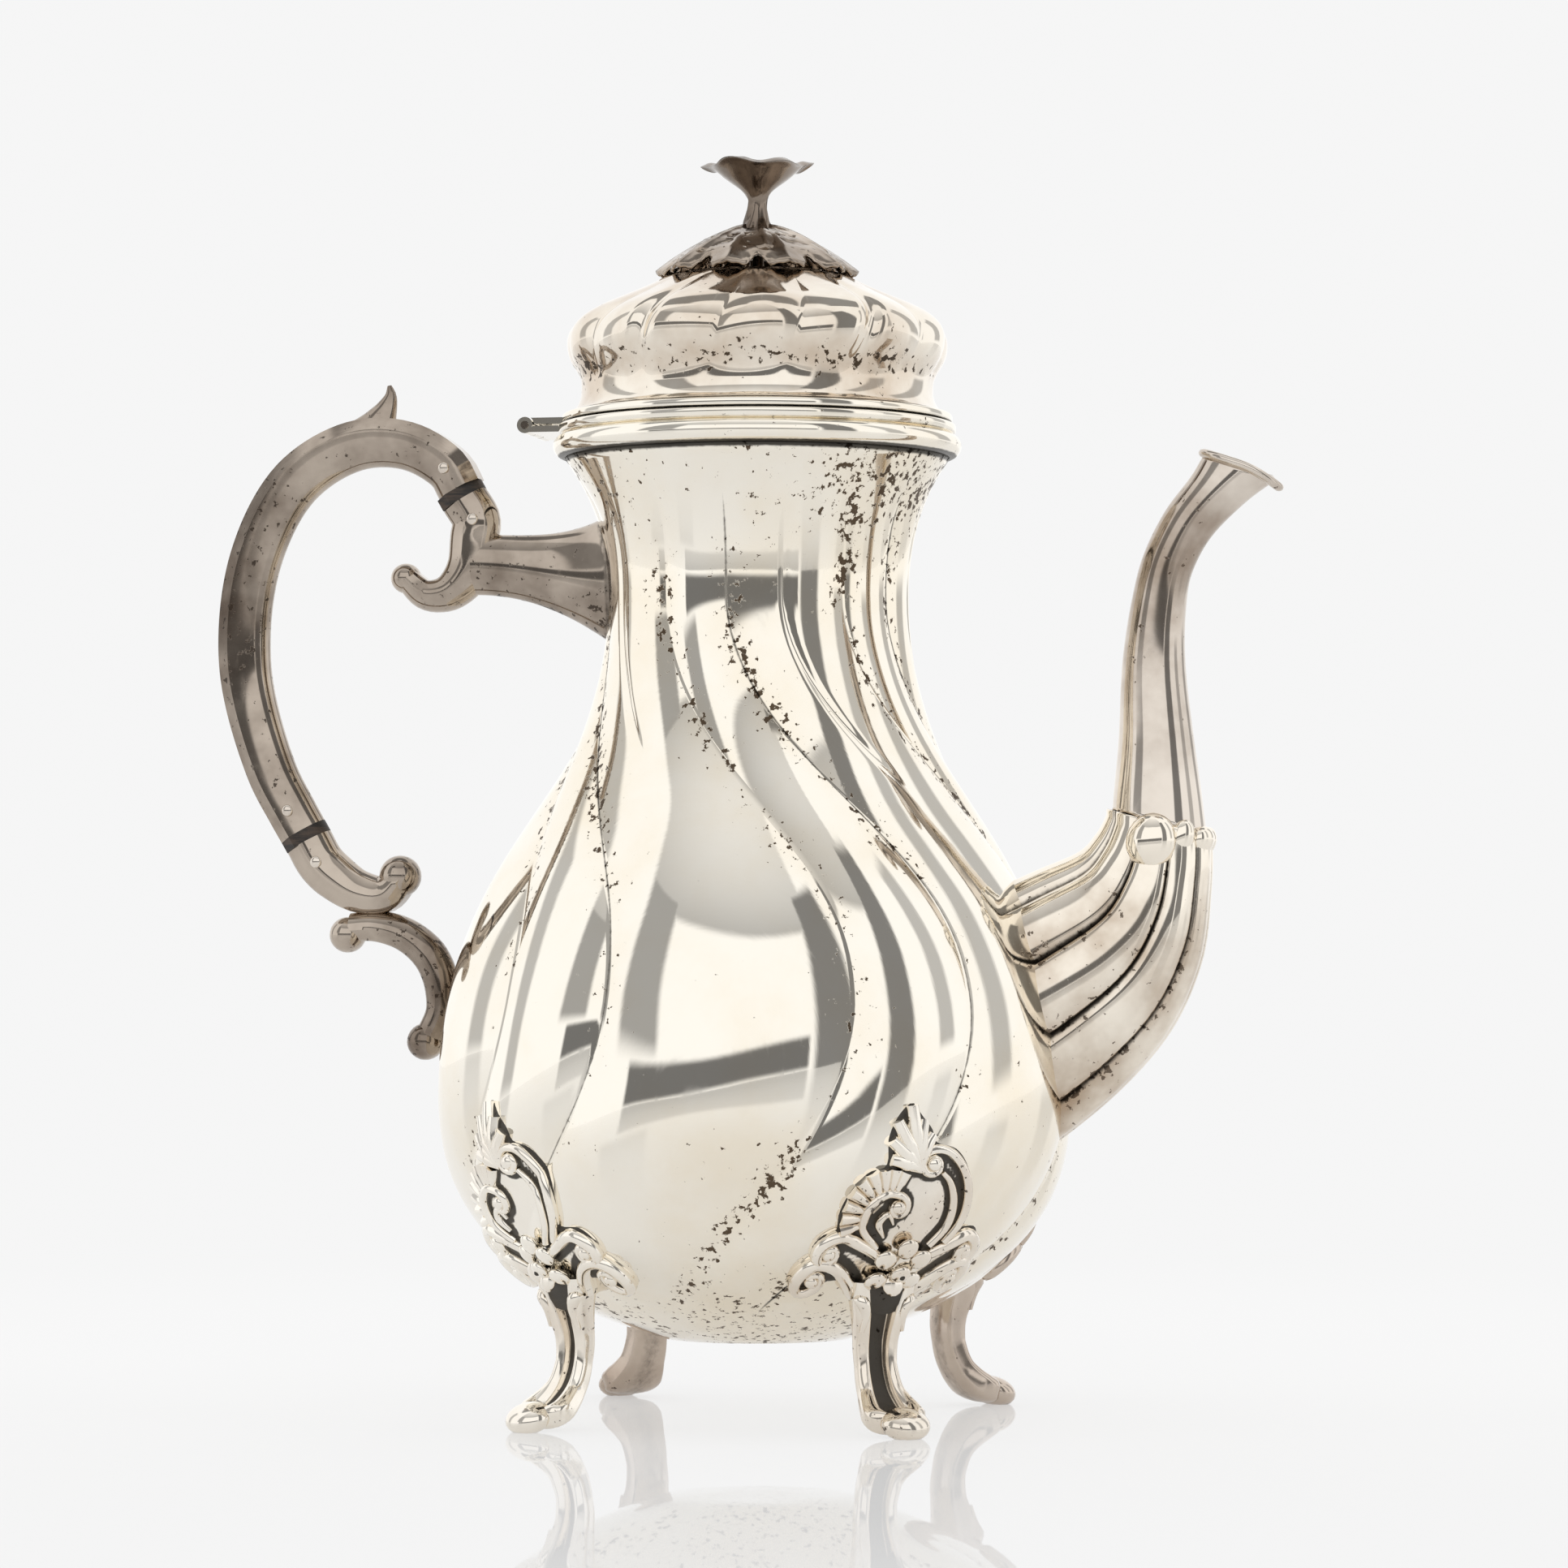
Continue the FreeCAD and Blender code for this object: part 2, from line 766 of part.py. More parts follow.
def handle_pieces(skin):
    """The grip between its two insulators, the sockets, and what carries the sockets."""
    slope = math.radians(grip_end_slope)
    down = Vector(math.cos(slope), 0, -math.sin(slope))
    frames = path_frames(grip_path, grip_bands, start=down * -1, end=down)
    top = frames[0][0]
    bottom = frames[-1][0]
    upper_start = top + down * insulator_height
    lower_start = bottom + down * insulator_height
    upper_insulator, upper_pins = insulator(top, down)
    lower_insulator, lower_pins = insulator(bottom, down)
    pins = []
    pin_holes = []
    for centre in upper_pins + lower_pins:
        pins.append(cross_pin(centre, handle_pin_radius, handle_pin_length))
        pin_holes.append(cross_pin(centre, handle_pin_radius + spigot_clearance, 2 * grip_depth))
    widths = [grip_end_width, grip_end_width, scroll_tail_width]
    depths = [grip_end_depth, grip_end_depth, grip_end_depth]
    sockets = {}
    for name, start, path, ball, ball_depth in (
        ("upper_socket", upper_start, upper_scroll_path, upper_ball_radius, upper_ball_depth),
        ("lower_socket", lower_start, lower_scroll_path, socket_ball_radius, socket_ball_depth),
    ):
        steps = path_frames(((start.x, start.z),) + path, scroll_bands, start=down)
        end = steps[-1][0]
        solid = bar(steps, widths, depths, scroll_ridge).fuse(volute_ball(end.x, end.z, ball, ball_depth))
        sockets[name] = solid.cut([spigot_hole(start, down)] + pin_holes)
    steps = path_frames(bracket_path, scroll_bands)
    bracket = bar(steps, [bracket_width] * 2, [bracket_depth] * 2, scroll_ridge)
    balls = []
    for centre in (steps[0][0], steps[-1][0]):
        balls.append(volute_ball(centre.x - bracket_ball_set, centre.z - bracket_ball_set,
                                 bracket_ball_radius, bracket_ball_depth))
    grip = grip_solid(frames)
    return {
        "handle_grip": grip.cut([spigot_hole(top, down * -1), spigot_hole(bottom, down * -1)] + pin_holes),
        "upper_insulator": upper_insulator.cut(pin_holes),
        "lower_insulator": lower_insulator.cut(pin_holes),
        "handle_pins": Part.makeCompound(pins),
        **sockets,
        "upper_stem": largest(trumpet_solid().cut([skin, sockets["upper_socket"]])),
        "lower_bracket": bracket.fuse(balls).cut([skin, sockets["lower_socket"]]),
    }


def spout_pieces(skin):
    """The lobed sheath, the neck and the lip, each with the bore that runs through all three."""
    sheath_end = seam + (seam_height, seam_width)
    neck_start = seam + (neck_seam_height, neck_seam_width)
    tip = spout_tip + (tip_length, tip_width)
    sheath = loft([lobed_ring(s) for s in sheath_stations + (sheath_end,)])
    bore_rings = [spout_ring(s, spout_wall + sheath_lobe_rise) for s in sheath_stations]
    sheath_bore = loft(bore_rings + [spout_ring(neck_start, spout_wall)])
    necks = (neck_start,) + neck_stations + (tip,)
    neck = loft([spout_ring(s, 0) for s in necks])
    neck_bore = loft([spout_ring(s, spout_wall) for s in necks])
    tilt = math.radians(spout_tip[2])
    out = Vector(math.cos(tilt), 0, math.sin(tilt))
    lip_rings = []
    lip_bores = []
    lip_steps = ((0.0, 0.0), (lip_bead_low, lip_bead), (lip_bead_high, lip_bead), (1.0, lip_edge_bead))
    for share, bead in lip_steps:
        place = Vector(spout_tip[0], 0, spout_tip[1]) + out * (lip_height * share)
        station = (place.x, place.z, spout_tip[2], tip_length, tip_width)
        lip_rings.append(spout_ring(station, -bead))
        lip_bores.append(spout_ring(station, spout_wall))
    return {
        "spout_sheath": sheath.cut([sheath_bore, skin]),
        "spout_neck": neck.cut(neck_bore),
        "spout_lip": loft(lip_rings).cut(loft(lip_bores)),
    }


def foot_pieces(skin):
    outline = [(0, shield_low)]
    for radius, z in vessel_levels():
        if shield_low - flute_fade_low < z < shield_high + flute_fade_high:
            outline.append((radius + shield_rise, z))
    outline.append((0, outline[-1][1]))
    shell = turned(outline)
    angles = {
        "foot_front_right": front_right_angle,
        "foot_front_left": front_left_angle,
        "foot_back_left": back_left_angle,
        "foot_back_right": back_right_angle,
    }
    return {name: foot_solid(angle, skin, shell) for name, angle in angles.items()}


def build():
    skin = vessel_solid(vessel_levels())
    pieces = {}
    pieces.update(vessel_pieces(skin))
    pieces.update(spout_pieces(skin))
    pieces.update(handle_pieces(skin))
    pieces.update(foot_pieces(skin))
    pieces.update(lid_pieces())
    pieces.update(hinge_pieces())
    os.makedirs("parts", exist_ok=True)
    for name, shape in pieces.items():
        shape.translate(Vector(footprint_shift, 0, 0))
        print(name, len(shape.Solids), "solid", shape.isValid(), round(shape.Volume), "mm3")
        shape.exportStep("parts/" + name + ".step")


build()
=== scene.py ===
# %% [markdown]
# # A swirl-fluted silver coffee pot
# The pot stands on four cast feet, has a lobed spout and a scroll handle kept cool by two insulators,
# and its domed lid turns on a hinge at the back. The solids of every piece are loaded first as a fixed
# frame. The script then makes a finer skin for each piece in the same place.

# %% Load the frame
import bisect
import math

import bmesh
import bpy
from mathutils import Matrix, Vector


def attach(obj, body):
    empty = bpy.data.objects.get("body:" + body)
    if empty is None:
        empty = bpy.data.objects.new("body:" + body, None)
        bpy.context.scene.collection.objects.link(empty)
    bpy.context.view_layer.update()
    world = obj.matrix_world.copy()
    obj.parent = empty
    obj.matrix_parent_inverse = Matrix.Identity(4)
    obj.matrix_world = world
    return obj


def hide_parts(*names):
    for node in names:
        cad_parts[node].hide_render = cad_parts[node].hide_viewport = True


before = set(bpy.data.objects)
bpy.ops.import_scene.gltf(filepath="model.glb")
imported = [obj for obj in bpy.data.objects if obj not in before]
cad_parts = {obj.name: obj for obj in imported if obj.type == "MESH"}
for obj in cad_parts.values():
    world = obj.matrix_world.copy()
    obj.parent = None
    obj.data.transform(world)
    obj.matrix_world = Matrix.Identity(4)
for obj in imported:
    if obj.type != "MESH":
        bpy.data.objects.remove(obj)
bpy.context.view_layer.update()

# %% [markdown]
# All the pieces are drawn in millimetres about the pot's upright axis, because that is how a silversmith
# measures a round vessel. One matrix brings them to metres and to the frame, whose origin lies in the
# middle of the footprint. Doing this once, at the end of each piece, keeps every number readable.

# %% From drawing to frame
AXIS_SHIFT = 2.8
TO_FRAME = Matrix.Translation((AXIS_SHIFT / 1000, 0, 0)) @ Matrix.Scale(0.001, 4)
BRIGHT, CAST = "polished_silver", "cast_silver"


def clamp(value):
    """The value, held between 0 and 1."""
    return max(0.0, min(1.0, value))


def ease(value):
    """Smooth step from 0 to 1."""
    t = clamp(value)
    return t * t * (3 - 2 * t)


def bell(gap, width):
    """1 where the gap is nothing, falling smoothly to 0 over a few widths."""
    return math.exp(-(gap / width) ** 2)


def polar(radius, degrees, z):
    """A point by its distance from the axis, its angle about it and its height."""
    angle = math.radians(degrees)
    return Vector((radius * math.cos(angle), radius * math.sin(angle), z))


def new_drawing():
    """An empty bmesh whose points carry a groove value, 1 in a dark line, and a tarnish value for specks."""
    bm = bmesh.new()
    bm.verts.layers.float.new("groove")
    bm.verts.layers.float.new("tarnish")
    return bm


def point_values(bm, name):
    """The layer that holds the groove or the tarnish of a drawing's points."""
    return bm.verts.layers.float[name]


def set_groove(bm, verts, value):
    """Give some points one groove value."""
    groove = point_values(bm, "groove")
    for vert in verts:
        vert[groove] = value


def keep(bm, name, finish, slot, body, *nodes, sharp=50, tarnish=0.3, hollow=False):
    """Bring a drawn piece into the frame and let it ride on its body in place of some solids.

    A hollow piece has open ends, which are closed while its faces are turned outwards and then opened again.
    """
    layer = point_values(bm, "tarnish")
    for vert in bm.verts:
        vert[layer] = vert[layer] or tarnish
    bmesh.ops.remove_doubles(bm, verts=bm.verts, dist=0.002)
    lids = []
    if hollow:
        border = [edge for edge in bm.edges if edge.is_boundary]
        lids = bmesh.ops.holes_fill(bm, edges=border, sides=0)["faces"]
    bmesh.ops.recalc_face_normals(bm, faces=bm.faces)
    bmesh.ops.delete(bm, geom=lids, context="FACES_ONLY")
    bmesh.ops.transform(bm, matrix=TO_FRAME, verts=bm.verts)
    mesh = bpy.data.meshes.new(name)
    bm.to_mesh(mesh)
    bm.free()
    mesh.shade_smooth()
    mesh.set_sharp_from_angle(angle=math.radians(sharp))
    mesh.materials.append(finish)
    piece = bpy.data.objects.new(name, mesh)
    bpy.context.scene.collection.objects.link(piece)
    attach(piece, body)
    if nodes:
        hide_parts(*nodes)
    print(name, len(mesh.polygons), "faces")
    return piece


def give_wall(piece, millimetres):
    """Thicken a skin inwards to a sheet."""
    wall = piece.modifiers.new("wall", "SOLIDIFY")
    wall.thickness = millimetres / 1000
    wall.offset = -1


print("millimetres about the axis move", AXIS_SHIFT, "mm towards the spout")

# %% [markdown]
# Shader maths reads best as plain sums. A small class wraps a socket, and the operators on it add Math
# nodes, so a mask can be written as 1 - groove. Every other kind of node comes from its one method.

# %% Shader sums


class Wire:
    """A shader socket that can be used in sums."""

    def __init__(self, socket):
        self.socket = socket
        self.tree = socket.id_data

    @staticmethod
    def node(tree, kind, settings=None, inputs=None, output=0):
        """Add a node with its settings, then its values or links, and give one of its outputs."""
        node = tree.nodes.new(kind)
        for key, value in (settings or {}).items():
            setattr(node, key, value)
        for key, value in (inputs or {}).items():
            if isinstance(value, Wire):
                tree.links.new(value.socket, node.inputs[key])
            else:
                node.inputs[key].default_value = value
        return Wire(node.outputs[output])

    def sum(self, operation, first, second):
        return Wire.node(self.tree, "ShaderNodeMath", {"operation": operation}, {0: first, 1: second})

    def __add__(self, other):
        return self.sum("ADD", self, other)

    def __radd__(self, other):
        return self.sum("ADD", other, self)

    def __sub__(self, other):
        return self.sum("SUBTRACT", self, other)

    def __rsub__(self, other):
        return self.sum("SUBTRACT", other, self)

    def __mul__(self, other):
        return self.sum("MULTIPLY", self, other)

    def __rmul__(self, other):
        return self.sum("MULTIPLY", other, self)

    def __or__(self, other):
        return self.sum("MAXIMUM", self, other)


def step(value, low, high):
    """0 below the low value, 1 above the high one, smooth between."""
    return Wire.node(value.tree, "ShaderNodeMapRange", {"interpolation_type": "SMOOTHSTEP"},
                     {"Value": value, "From Min": low, "From Max": high})


def tint(share, one, two):
    """From the first colour to the second as a share goes from 0 to 1."""
    return Wire.node(share.tree, "ShaderNodeMix", {"data_type": "RGBA"}, {0: share, 6: one, 7: two}, 2)


def grain(tree, place, size, detail=2.0, rough=0.5):
    """Cloudy noise whose patches are about a size in millimetres."""
    return Wire.node(tree, "ShaderNodeTexNoise", None,
                     {"Vector": place, "Scale": 500.0 / size, "Detail": detail, "Roughness": rough})


print("shader sums ready")

# %% [markdown]
# Old silver is a mirror first and a colour second. Its polish is broken by three things: a warm patina in
# wide clouds, brown and black specks where the sulphide has not been rubbed off, and near-black lines in
# the creases where no cloth reaches. The same dark lines also paint shade along the seams at the mouth and
# round the lid. The lines come from the groove value that each piece carries, and the rest from noise in
# object coordinates, so a pattern stays on the metal when the piece moves.

# %% Silver finishes
CLOUD, DENT, BLOTCH, SCRATCH, SPECK = 34.0, 24.0, 9.0, 3.0, 0.8
DEEP_LINE = (0.012, 0.009, 0.006, 1)


def silver(name, bright, patina, stain, patina_share=0.4, stain_share=0.95, dull=0.035):
    """A silver finish: bright metal, its patina, its stain and how much of each there is."""
    finish = bpy.data.materials.new(name)
    finish.use_nodes = True
    tree = finish.node_tree
    shader = tree.nodes["Principled BSDF"]
    place = Wire.node(tree, "ShaderNodeTexCoord", None, None, "Object")
    groove = Wire.node(tree, "ShaderNodeAttribute", {"attribute_name": "groove"}, None, "Fac")
    cloud = grain(tree, place, CLOUD, 3.0)
    blotch = grain(tree, place, BLOTCH, 4.0, 0.6)
    speck = grain(tree, place, SPECK, 5.0, 0.6)
    tarnish = Wire.node(tree, "ShaderNodeAttribute", {"attribute_name": "tarnish"}, None, "Fac")
    haze = step(cloud * 0.6 + blotch * 0.4 + tarnish * 0.08, 0.42, 0.7) * patina_share
    gathered = tarnish * (step(cloud, 0.4, 0.54) * 0.125 + 0.1)
    spots = step(speck + blotch * 0.3 + gathered, 0.885, 0.92) * stain_share
    # The line mask is tarnish in the creases and painted shade along the seams at the mouth and round the
    # lid.
    line = step(groove + speck * 0.3 + cloud * 0.4 - 0.35, 0.5, 0.85)
    warm = tint(haze, bright, patina)
    spotted = tint(spots, warm, stain)
    colour = tint(line * 0.92, spotted, DEEP_LINE)
    scratch_place = Wire.node(tree, "ShaderNodeMapping", None,
                              {"Vector": place, "Rotation": (0.3, 0.5, 0.9), "Scale": (1, 14, 1)})
    scratch = grain(tree, scratch_place, SCRATCH, 3.0)
    rough = dull + haze * 0.07 + spots * 0.35 + line * 0.3 + step(scratch, 0.55, 0.75) * 0.05
    wobble = grain(tree, place, DENT, 1.0) * 2.0 + grain(tree, place, BLOTCH, 0.0) * 0.1
    wobble = wobble + scratch * 0.004 - spots * 0.02
    bump = Wire.node(tree, "ShaderNodeBump", None,
                     {"Height": wobble, "Strength": 0.6, "Distance": 0.0012}, "Normal")
    shader.inputs["Metallic"].default_value = 1.0
    tree.links.new(colour.socket, shader.inputs["Base Color"])
    tree.links.new(rough.socket, shader.inputs["Roughness"])
    tree.links.new(bump.socket, shader.inputs["Normal"])
    return finish


polished = silver("polished_silver", (0.95, 0.905, 0.815, 1), (0.84, 0.70, 0.48, 1), (0.07, 0.04, 0.018, 1))
lid_silver = silver("lid_silver", (0.92, 0.86, 0.76, 1), (0.55, 0.42, 0.30, 1), (0.05, 0.03, 0.015, 1), 0.9)
sheath_silver = silver("sheath_silver", (0.94, 0.87, 0.76, 1), (0.40, 0.29, 0.195, 1),
                       (0.06, 0.035, 0.02, 1), 0.95, 0.8, 0.05)
spout_silver = silver("spout_silver", (0.78, 0.71, 0.63, 1), (0.29, 0.22, 0.165, 1),
                      (0.06, 0.035, 0.02, 1), 0.95, 0.8, 0.05)
handle_silver = silver("handle_silver", (0.55, 0.475, 0.40, 1), (0.12, 0.085, 0.062, 1),
                       (0.03, 0.02, 0.014, 1), 1.0, 0.8, 0.06)
foot_silver = silver("foot_silver", (0.99, 0.945, 0.86, 1), (0.60, 0.48, 0.36, 1),
                     (0.05, 0.032, 0.02, 1), 0.5, 0.85, 0.08)
worn_silver = silver("worn_silver", (0.62, 0.53, 0.45, 1), (0.33, 0.245, 0.18, 1),
                     (0.05, 0.032, 0.02, 1), 0.8, 0.85, 0.14)
finial_silver = silver("finial_silver", (0.64, 0.55, 0.46, 1), (0.18, 0.135, 0.10, 1),
                       (0.04, 0.03, 0.02, 1), 0.95, 0.7, 0.14)
flower_silver = silver("flower_silver", (0.30, 0.245, 0.20, 1), (0.08, 0.06, 0.045, 1),
                       (0.03, 0.02, 0.015, 1), 0.95, 0.7, 0.14)
print("finishes:", [finish.name for finish in bpy.data.materials if finish.name.endswith("_silver")])

# %% [markdown]
# The insulators are thin discs of dark horn or stained wood. Their colour is nearly black, with a faint
# streaked grain and a dull sheen, so a noise that is stretched along the disc's thickness is enough.

# %% Insulator finish
insulator_finish = bpy.data.materials.new("insulator_horn")
insulator_finish.use_nodes = True
tree = insulator_finish.node_tree
place = Wire.node(tree, "ShaderNodeTexCoord", None, None, "Object")
streak_place = Wire.node(tree, "ShaderNodeMapping", None, {"Vector": place, "Scale": (1, 1, 6)})
streak = grain(tree, streak_place, 2.5, 4.0)
horn = tint(step(streak, 0.35, 0.7), (0.012, 0.009, 0.007, 1), (0.075, 0.05, 0.035, 1))
shader = tree.nodes["Principled BSDF"]
tree.links.new(horn.socket, shader.inputs["Base Color"])
tree.links.new((streak * 0.25 + 0.35).socket, shader.inputs["Roughness"])
print("finish:", insulator_finish.name)

# %% [markdown]
# The vessel's side is three curves: a full bowl, a long shoulder that draws in to the neck, and a flare
# up to the mouth. Each is a cubic, which needs only its two ends and how far it runs straight from them.

# %% The vessel's outline


def bezier(poles, count):
    """Points along a cubic curve, without its first point."""
    points = []
    for i in range(1, count + 1):
        t = i / count
        s = 1 - t
        weights = (s ** 3, 3 * s * s * t, 3 * s * t * t, t ** 3)
        points.append(tuple(sum(w * p[k] for w, p in zip(weights, poles)) for k in (0, 1)))
    return points


BASE_RADIUS, BELLY_RADIUS, NECK_RADIUS, MOUTH_RADIUS = 20.0, 66.1, 31.5, 40.0
BASE_HEIGHT, BELLY_HEIGHT, NECK_HEIGHT, MOUTH_HEIGHT = 16.5, 68.0, 169.0, 198.5
base, belly = (BASE_RADIUS, BASE_HEIGHT), (BELLY_RADIUS, BELLY_HEIGHT)
waist, mouth = (NECK_RADIUS, NECK_HEIGHT), (MOUTH_RADIUS, MOUTH_HEIGHT)
vessel_side = [base]
vessel_side += bezier((base, (54.0, 26.7), (BELLY_RADIUS, 42.0), belly), 30)
vessel_side += bezier((belly, (BELLY_RADIUS, 119.0), (NECK_RADIUS, 124.4), waist), 46)
vessel_side += bezier((waist, (NECK_RADIUS, 181.0), (34.0, 189.9), mouth), 16)
side_heights = [z for radius, z in vessel_side]


def side_radius(z):
    """Radius of the vessel's crowns at a height."""
    k = max(1, min(len(vessel_side) - 1, bisect.bisect(side_heights, z)))
    (r0, z0), (r1, z1) = vessel_side[k - 1], vessel_side[k]
    return r0 + (r1 - r0) * clamp((z - z0) / (z1 - z0))


print("side of", len(vessel_side), "levels")

# %% [markdown]
# The swirl is the pot's signature: five broad panels and five narrow lobes that lean out over the belly
# and back up the neck. Twisting a plain turned form does this well. The columns of the spin become the
# creases themselves when each level is turned by its own angle, so every crease stays one clean line.

# %% The swirl
PERIOD, BROAD = 72.0, 47.0
SWIRL_LOW, SWIRL_MIDDLE = 24.0, 88.0
LEAN_LOW, LEAN_MIDDLE, LEAN_BACK = -78.5, 43.2, 55.2
FLUTE_DEPTH = 2.4


def crease_angle(z):
    """Angle of the first crease at a height."""
    if z < SWIRL_MIDDLE:
        down = clamp((SWIRL_MIDDLE - z) / (SWIRL_MIDDLE - SWIRL_LOW))
        return LEAN_LOW + LEAN_MIDDLE * (1 - down ** 1.9)
    up = clamp((z - SWIRL_MIDDLE) / (NECK_HEIGHT - SWIRL_MIDDLE))
    return LEAN_LOW + LEAN_MIDDLE - LEAN_BACK * math.sin(math.pi / 2 * up ** 1.25) ** 2


def flute_share(turn):
    """0 on a panel's crown and 1 in a crease, by the angle past the first crease."""
    turn %= PERIOD
    if turn <= BROAD:
        return (2 * turn / BROAD - 1) ** 2
    return 0.3 + 0.7 * (2 * (turn - BROAD) / (PERIOD - BROAD) - 1) ** 2


def flute_depth(radius, z):
    """Depth of the creases: in scale with the radius, dying out at both ends."""
    low = ease((z - BASE_HEIGHT) / 14)
    high = ease((MOUTH_HEIGHT - z) / 16)
    return FLUTE_DEPTH * radius / BELLY_RADIUS * low * high


def skin_radius(degrees, z):
    """Radius of the fluted skin at an angle and a height."""
    radius = side_radius(z)
    return radius - flute_depth(radius, z) * flute_share(degrees - crease_angle(z))


def neck_line(turn, z):
    """A shallow extra line in each broad panel, on the neck only."""
    turn %= PERIOD
    share = ease((z - 128) / 16) * ease((192 - z) / 14)
    return share * bell(turn - 22, 1.6)


def crease_line(turn, radius):
    """1 on the sharp crease, less on the soft one, and 0 a millimetre away."""
    turn %= PERIOD
    sharp = min(turn, PERIOD - turn) * math.pi / 180 * radius
    soft = abs(turn - BROAD) * math.pi / 180 * radius
    return max(0.8 * bell(sharp, 0.75), 0.5 * bell(soft, 0.7))


def crease_tarnish(turn, radius):
    """Specks gather in a band along each crease."""
    turn %= PERIOD
    gap = min(turn, PERIOD - turn, abs(turn - BROAD)) * math.pi / 180 * radius
    return bell(gap, 4.5)


print("first crease at the belly:", round(crease_angle(BELLY_HEIGHT), 1), "degrees")

# %% [markdown]
# The vessel is spun from its outline, twisted and fluted point by point, and given its wall afterwards by
# Solidify, as a raised vessel has the same thin sheet everywhere. Where the spout is soldered on, the wall
# is pierced with a ring of strainer holes: the faces inside each circle go, and their border is rounded.

# %% Spin and flute the vessel
SHEET, CAST_SHEET = 0.8, 1.2
STRAINER_HEIGHT, STRAINER_RING, STRAINER_HOLE = 84.0, 8.5, 2.7


def turn_outline(bm, outline, steps, closed=False):
    """Spin an outline of (radius, height) points about the axis."""
    verts = [bm.verts.new((radius, 0, z)) for radius, z in outline]
    edges = [bm.edges.new(pair) for pair in zip(verts, verts[1:])]
    if closed:
        edges.append(bm.edges.new((verts[-1], verts[0])))
    bmesh.ops.spin(bm, geom=verts + edges, cent=(0, 0, 0), axis=(0, 0, 1), angle=2 * math.pi,
                   steps=steps, use_merge=True)
    bmesh.ops.remove_doubles(bm, verts=bm.verts, dist=0.002)


def pierce(bm, radius, spots):
    """Cut round holes through a skin near +X, at (y, z) spots."""
    for y, z in spots:
        inside = []
        for face in bm.faces:
            middle = face.calc_center_median()
            if middle.x > 0 and math.hypot(middle.y - y, middle.z - z) < radius:
                inside.append(face)
        border = {edge for face in inside for edge in face.edges}
        bmesh.ops.delete(bm, geom=inside, context="FACES")
        rim = {vert for edge in border if edge.is_valid and edge.is_boundary for vert in edge.verts}
        for vert in rim:
            away = Vector((vert.co.y - y, vert.co.z - z))
            away = away.normalized() * radius
            vert.co.y, vert.co.z = y + away.x, z + away.y


bm = new_drawing()
turn_outline(bm, [(0.0, BASE_HEIGHT), (10.0, BASE_HEIGHT)] + vessel_side, 360)
groove, tarnish = point_values(bm, "groove"), point_values(bm, "tarnish")
for vert in bm.verts:
    x, y, z = vert.co
    radius = math.hypot(x, y)
    turn = math.degrees(math.atan2(y, x))
    depth = flute_depth(radius, z)
    line = neck_line(turn, z)
    vert.co = polar(radius - depth * flute_share(turn) - 0.55 * line, turn + crease_angle(z), z)
    # The last term paints shade: a dark band round the top of the vessel, where it runs in under the mouth
    # bead.
    vert[groove] = max(clamp(depth / 1.2) * crease_line(turn, radius), 0.4 * line,
                       1.2 * bell(z - MOUTH_HEIGHT, 1.1))
    top_band = 0.9 * ease((z - 176) / 12)
    low_band = 0.6 * (1 - ease((z - 22) / 16))
    crease_band = 0.85 * clamp(depth) * crease_tarnish(turn, radius)
    vert[tarnish] = 0.12 + 0.88 * max(crease_band, top_band, low_band)
holes = []
for k in range(6):
    way = k * math.pi / 3
    holes.append((STRAINER_RING * math.cos(way), STRAINER_HEIGHT + STRAINER_RING * math.sin(way)))
pierce(bm, STRAINER_HOLE, holes + [(0.0, STRAINER_HEIGHT)])
vessel = keep(bm, "vessel_skin", polished, BRIGHT, "pot", "body_vessel", sharp=65, hollow=True)
give_wall(vessel, SHEET)

# %% [markdown]
# The mouth is stiffened by a moulding: a half-round bead below and a plain step above, on which the lid
# rests. A spin of one closed outline makes the whole ring, with the bead drawn as an arc.

# %% The mouth moulding


def arc(centre, radius, first, last, count):
    """Points on an arc in the outline's plane, by angles in degrees."""
    points = []
    for i in range(count + 1):
        angle = math.radians(first + (last - first) * i / count)
        points.append((centre[0] + radius * math.cos(angle), centre[1] + radius * math.sin(angle)))
    return points


def oval_arc(centre, reach, rise, first, last, count):
    """An arc drawn wider or taller than round."""
    return [(centre[0] + reach * x, centre[1] + rise * z)
            for x, z in arc((0, 0), 1, first, last, count)]


RIM_TOP, RIM_BORE = 205.5, 38.2
bm = new_drawing()
rim_outline = [(RIM_BORE, MOUTH_HEIGHT), (39.6, MOUTH_HEIGHT)]
rim_outline += oval_arc((40.0, 201.0), 2.5, 2.4, -82, 82, 12)
rim_outline += [(41.0, 203.6), (41.3, 203.9)] + arc((40.8, 205.0), 0.5, 0, 90, 4) + [(RIM_BORE, RIM_TOP)]
turn_outline(bm, rim_outline, 160, closed=True)
groove = point_values(bm, "groove")
# Both lines paint shade: a dark line along the seam under the bead and a fainter one in the notch above it.
for vert in bm.verts:
    low = bell(vert.co.z - 198.7, 0.6)
    notch_shade = bell(vert.co.z - 203.7, 0.35)
    vert[groove] = max(low, 0.7 * notch_shade)
keep(bm, "mouth_moulding", polished, BRIGHT, "pot", "mouth_rim")

# %% [markdown]
# The lid repeats the body: a flat flange, a hollow moulding, a fluted bulge and a flattened shoulder under
# the leaves. It is spun, twisted and fluted in the same way, from the same flute shape.

